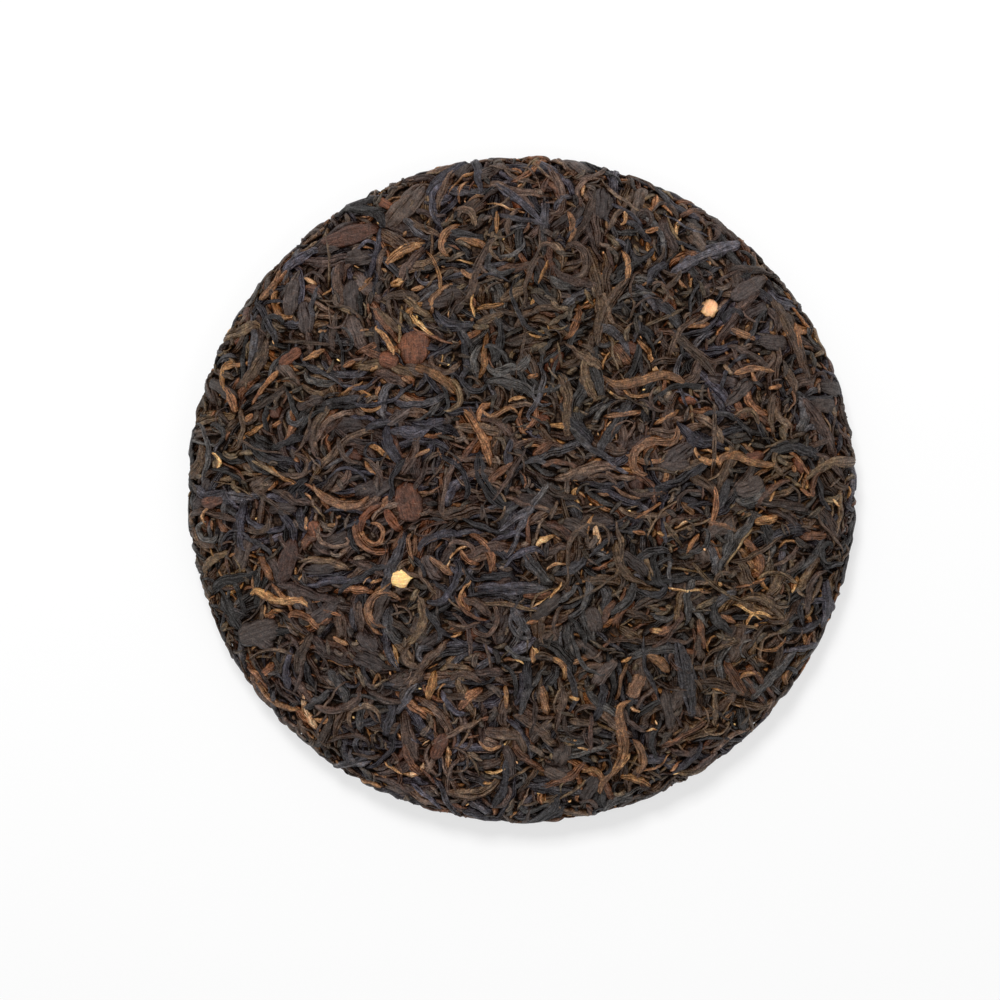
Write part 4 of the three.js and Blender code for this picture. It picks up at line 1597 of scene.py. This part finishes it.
@dataclass(frozen=True)
class Core:
    """The dark mass between the leaves, partly the tea's own colour and partly painted shade of the gaps.
    """

    form: CakeForm
    depth: float = 2.4  # below the cake's form
    lumps: float = 0.6
    rings: int = 150
    around: int = 360
    out_pitch: float = 1.1  # of the lumps along the meridian, in radians a millimetre
    out_swing: tuple[float, int] = (3, 11)  # how far, and how often round, the lumps' rows swing
    round_pitch: int = 47  # lumps round the core
    round_swing: float = 0.6  # radians a millimetre of their swing along the meridian
    # darker and warmer than the leaves: partly the tea's own colour, partly painted shade of the gaps
    crumbs: tuple[Colour, ...] = palette((22, 14, 10), (45, 32, 25), (78, 60, 48), (112, 89, 71))
    bump: float = 0.002  # metres

    def mesh(self) -> MeshData:
        """Builds the closed skin.

        Points lie on rings at even distances along the meridian, lowered by the depth and by the
        product of a sine of the distance and a sine of the turn, each swung by the other. The lumps
        fade out towards the two middles.

        Returns:
            Its triangles.
        """
        share = (np.arange(self.rings) + 0.5) / self.rings
        turns = np.arange(self.around) * FULL_TURN / self.around
        reach, turn = np.meshgrid(share * self.form.length, turns, indexing="ij")
        far, often = self.out_swing
        rows = np.sin(reach * self.out_pitch + far * np.sin(often * turn))
        lump = rows * np.sin(self.round_pitch * turn + np.sin(reach * self.round_swing))
        raised = -self.depth + self.lumps * lump * np.sin(math.pi * share)[:, None]
        rings = self.form.place(reach * np.cos(turn), reach * np.sin(turn), raised, Side.FACE)
        out, none = np.array([0.0, self.form.length]), np.zeros(2)
        ends = self.form.place(out, none, none - self.depth, Side.FACE)
        points = np.concatenate([rings.reshape(-1, 3), ends])
        triangles, square = ringed(self.rings, self.around)
        leaf_map, facts = np.zeros((len(points), 2)), np.zeros((len(points), 4))
        return MeshData(points, triangles, 0 * square, leaf_map, facts)

    def made(self) -> bpy.types.Object:
        """Makes the core, which stands for the CAD solid.

        Returns:
            The object.
        """
        board = NodeBoard("pressed mass", Roughness=0.8, Specular_IOR_Level=0.15)
        crumbs = board.noise(board.node("ShaderNodeTexCoord").outputs["Object"], CRUMBS)
        colour = board.ramp(board.between(crumbs, 0, 1), self.crumbs)
        board.join(colour, board.shader.inputs["Base Color"])
        board.bumped(crumbs, self.bump)
        piece = self.mesh().made("core", board.material, "pressed_tea")
        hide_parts(NODE)
        return piece


class Cake:
    """The whole cake: the core and the leaves on both sides."""

    largest = 190000  # triangles in one piece
    face_reach = 113  # of the face's leaves from its middle, at most, by their middles
    face_counts = (3500, 1900)  # leaves and scraps
    face_rim = 88  # distance from the face's middle from which they lie along the rim
    back_start = 109  # distance from the face's middle where the back's leaves begin
    back_counts = (1150, 350)
    back_rim = 82  # distance from the back's middle from which they lie along the rim

    def __init__(self) -> None:
        """Sets up the form."""
        self.form = CakeForm()

    def built(self) -> None:
        """Makes every piece."""
        Core(self.form).made()
        face = CakePile(Side.FACE, self.face_reach, self.face_counts, self.face_rim, SEED)
        self.dressed(face.built(shown_leaves(self.form)))
        back_reach = self.form.length - self.back_start
        back = CakePile(Side.BACK, back_reach, self.back_counts, self.back_rim, SEED + 1)
        self.dressed(back.built(None))

    def dressed(self, pile: CakePile) -> None:
        """Makes the pieces of one side, one kind at a time.

        Args:
            pile: The side's pressed pile.
        """
        mesher = LeafMesher(self.form, pile, SEED + 2)
        for kind, finish in FINISHES.items():
            rows = np.flatnonzero(pile.leaves.kind == kind)
            if not len(rows):
                continue
            material = finish.material(f"{kind.value} {pile.side.value}")
            whole = mesher.piece_of(rows)
            share = math.ceil(len(whole.triangles) / self.largest)
            for part in range(share):
                name = f"{kind.value}_{pile.side.value}" + (f"_{part + 1}" if share > 1 else "")
                chosen = whole if share == 1 else mesher.piece_of(rows[part::share])
                chosen.made(name, material, finish.slot)


@dataclass(frozen=True)
class Lamp:
    """A soft square lamp that faces the cake's middle, in metres and watts."""

    name: str
    place: tuple[float, float, float]
    side: float
    power: float

    def hang(self) -> None:
        """Hangs the lamp."""
        light = bpy.data.lights.new(self.name, "AREA")
        light.size = self.side
        light.energy = self.power
        lamp = bpy.data.objects.new(self.name, light)
        lamp.location = self.place
        towards = -lamp.location
        lamp.rotation_euler = towards.to_track_quat("-Z", "Y").to_euler()
        bpy.context.scene.collection.objects.link(lamp)


@dataclass(frozen=True)
class Studio:
    """The white ground, the lights and the camera."""

    tilt: float = 5.4  # of the camera towards the top of the picture, in degrees
    distance: float = 0.818  # metres, as are the sizes below
    aim: tuple[float, float, float] = (-0.0064, -0.0016, 0.012)
    ground_reach: float = 12.0
    lens: float = 100.0  # millimetres
    ground_white: float = 0.32
    ground_glow: float = 0.63
    surroundings: float = 0.4  # strength of their white light
    lamps: tuple[Lamp, ...] = (
        Lamp("key", (-0.2, 0.7, 1.0), 0.35, 13.7),
        Lamp("fill", (0.6, -0.5, 1.1), 0.8, 1.8),
    )

    def ground(self) -> None:
        """Makes the white ground, which isn't part of the object."""
        side = self.ground_reach
        mesh = bpy.data.meshes.new("ground")
        corners = [(-side, -side, 0), (side, -side, 0), (side, side, 0), (-side, side, 0)]
        mesh.from_pydata(corners, [], [(0, 1, 2, 3)])
        board = NodeBoard(
            "white ground",
            Base_Color=(self.ground_white, self.ground_white, self.ground_white, 1),
            Roughness=0.9,
            Specular_IOR_Level=0.0,
            Emission_Color=(1, 1, 1, 1),
            Emission_Strength=self.ground_glow,
        )
        mesh.materials.append(board.material)
        ground = bpy.data.objects.new("ground", mesh)
        bpy.context.scene.collection.objects.link(ground)

    def camera(self) -> None:
        """Sets the camera above the cake."""
        camera = bpy.data.cameras.new("camera")
        camera.lens = self.lens
        camera.dof.use_dof = False
        holder = bpy.data.objects.new("camera", camera)
        tilt = math.radians(self.tilt)
        aim = np.array(self.aim)
        holder.location = aim + self.distance * np.array([0, math.sin(tilt), math.cos(tilt)])
        holder.rotation_euler = (-tilt, 0, 0)
        bpy.context.scene.collection.objects.link(holder)
        bpy.context.scene.camera = holder

    def set_up(self) -> None:
        """Sets up the ground, the lights, the surroundings, the view and the camera."""
        scene = bpy.context.scene
        world = bpy.data.worlds.new("surroundings")
        world.use_nodes = True
        background = world.node_tree.nodes["Background"]
        background.inputs["Color"].default_value = (1, 1, 1, 1)
        background.inputs["Strength"].default_value = self.surroundings
        scene.world = world
        scene.view_settings.view_transform = "Standard"
        self.ground()
        for lamp in self.lamps:
            lamp.hang()
        self.camera()


def main() -> None:
    """Builds the cake and the scene."""
    logging.basicConfig(level=logging.INFO, format="%(name)s: %(message)s")
    Cake().built()
    Studio().set_up()


if __name__ == "__main__":
    main()
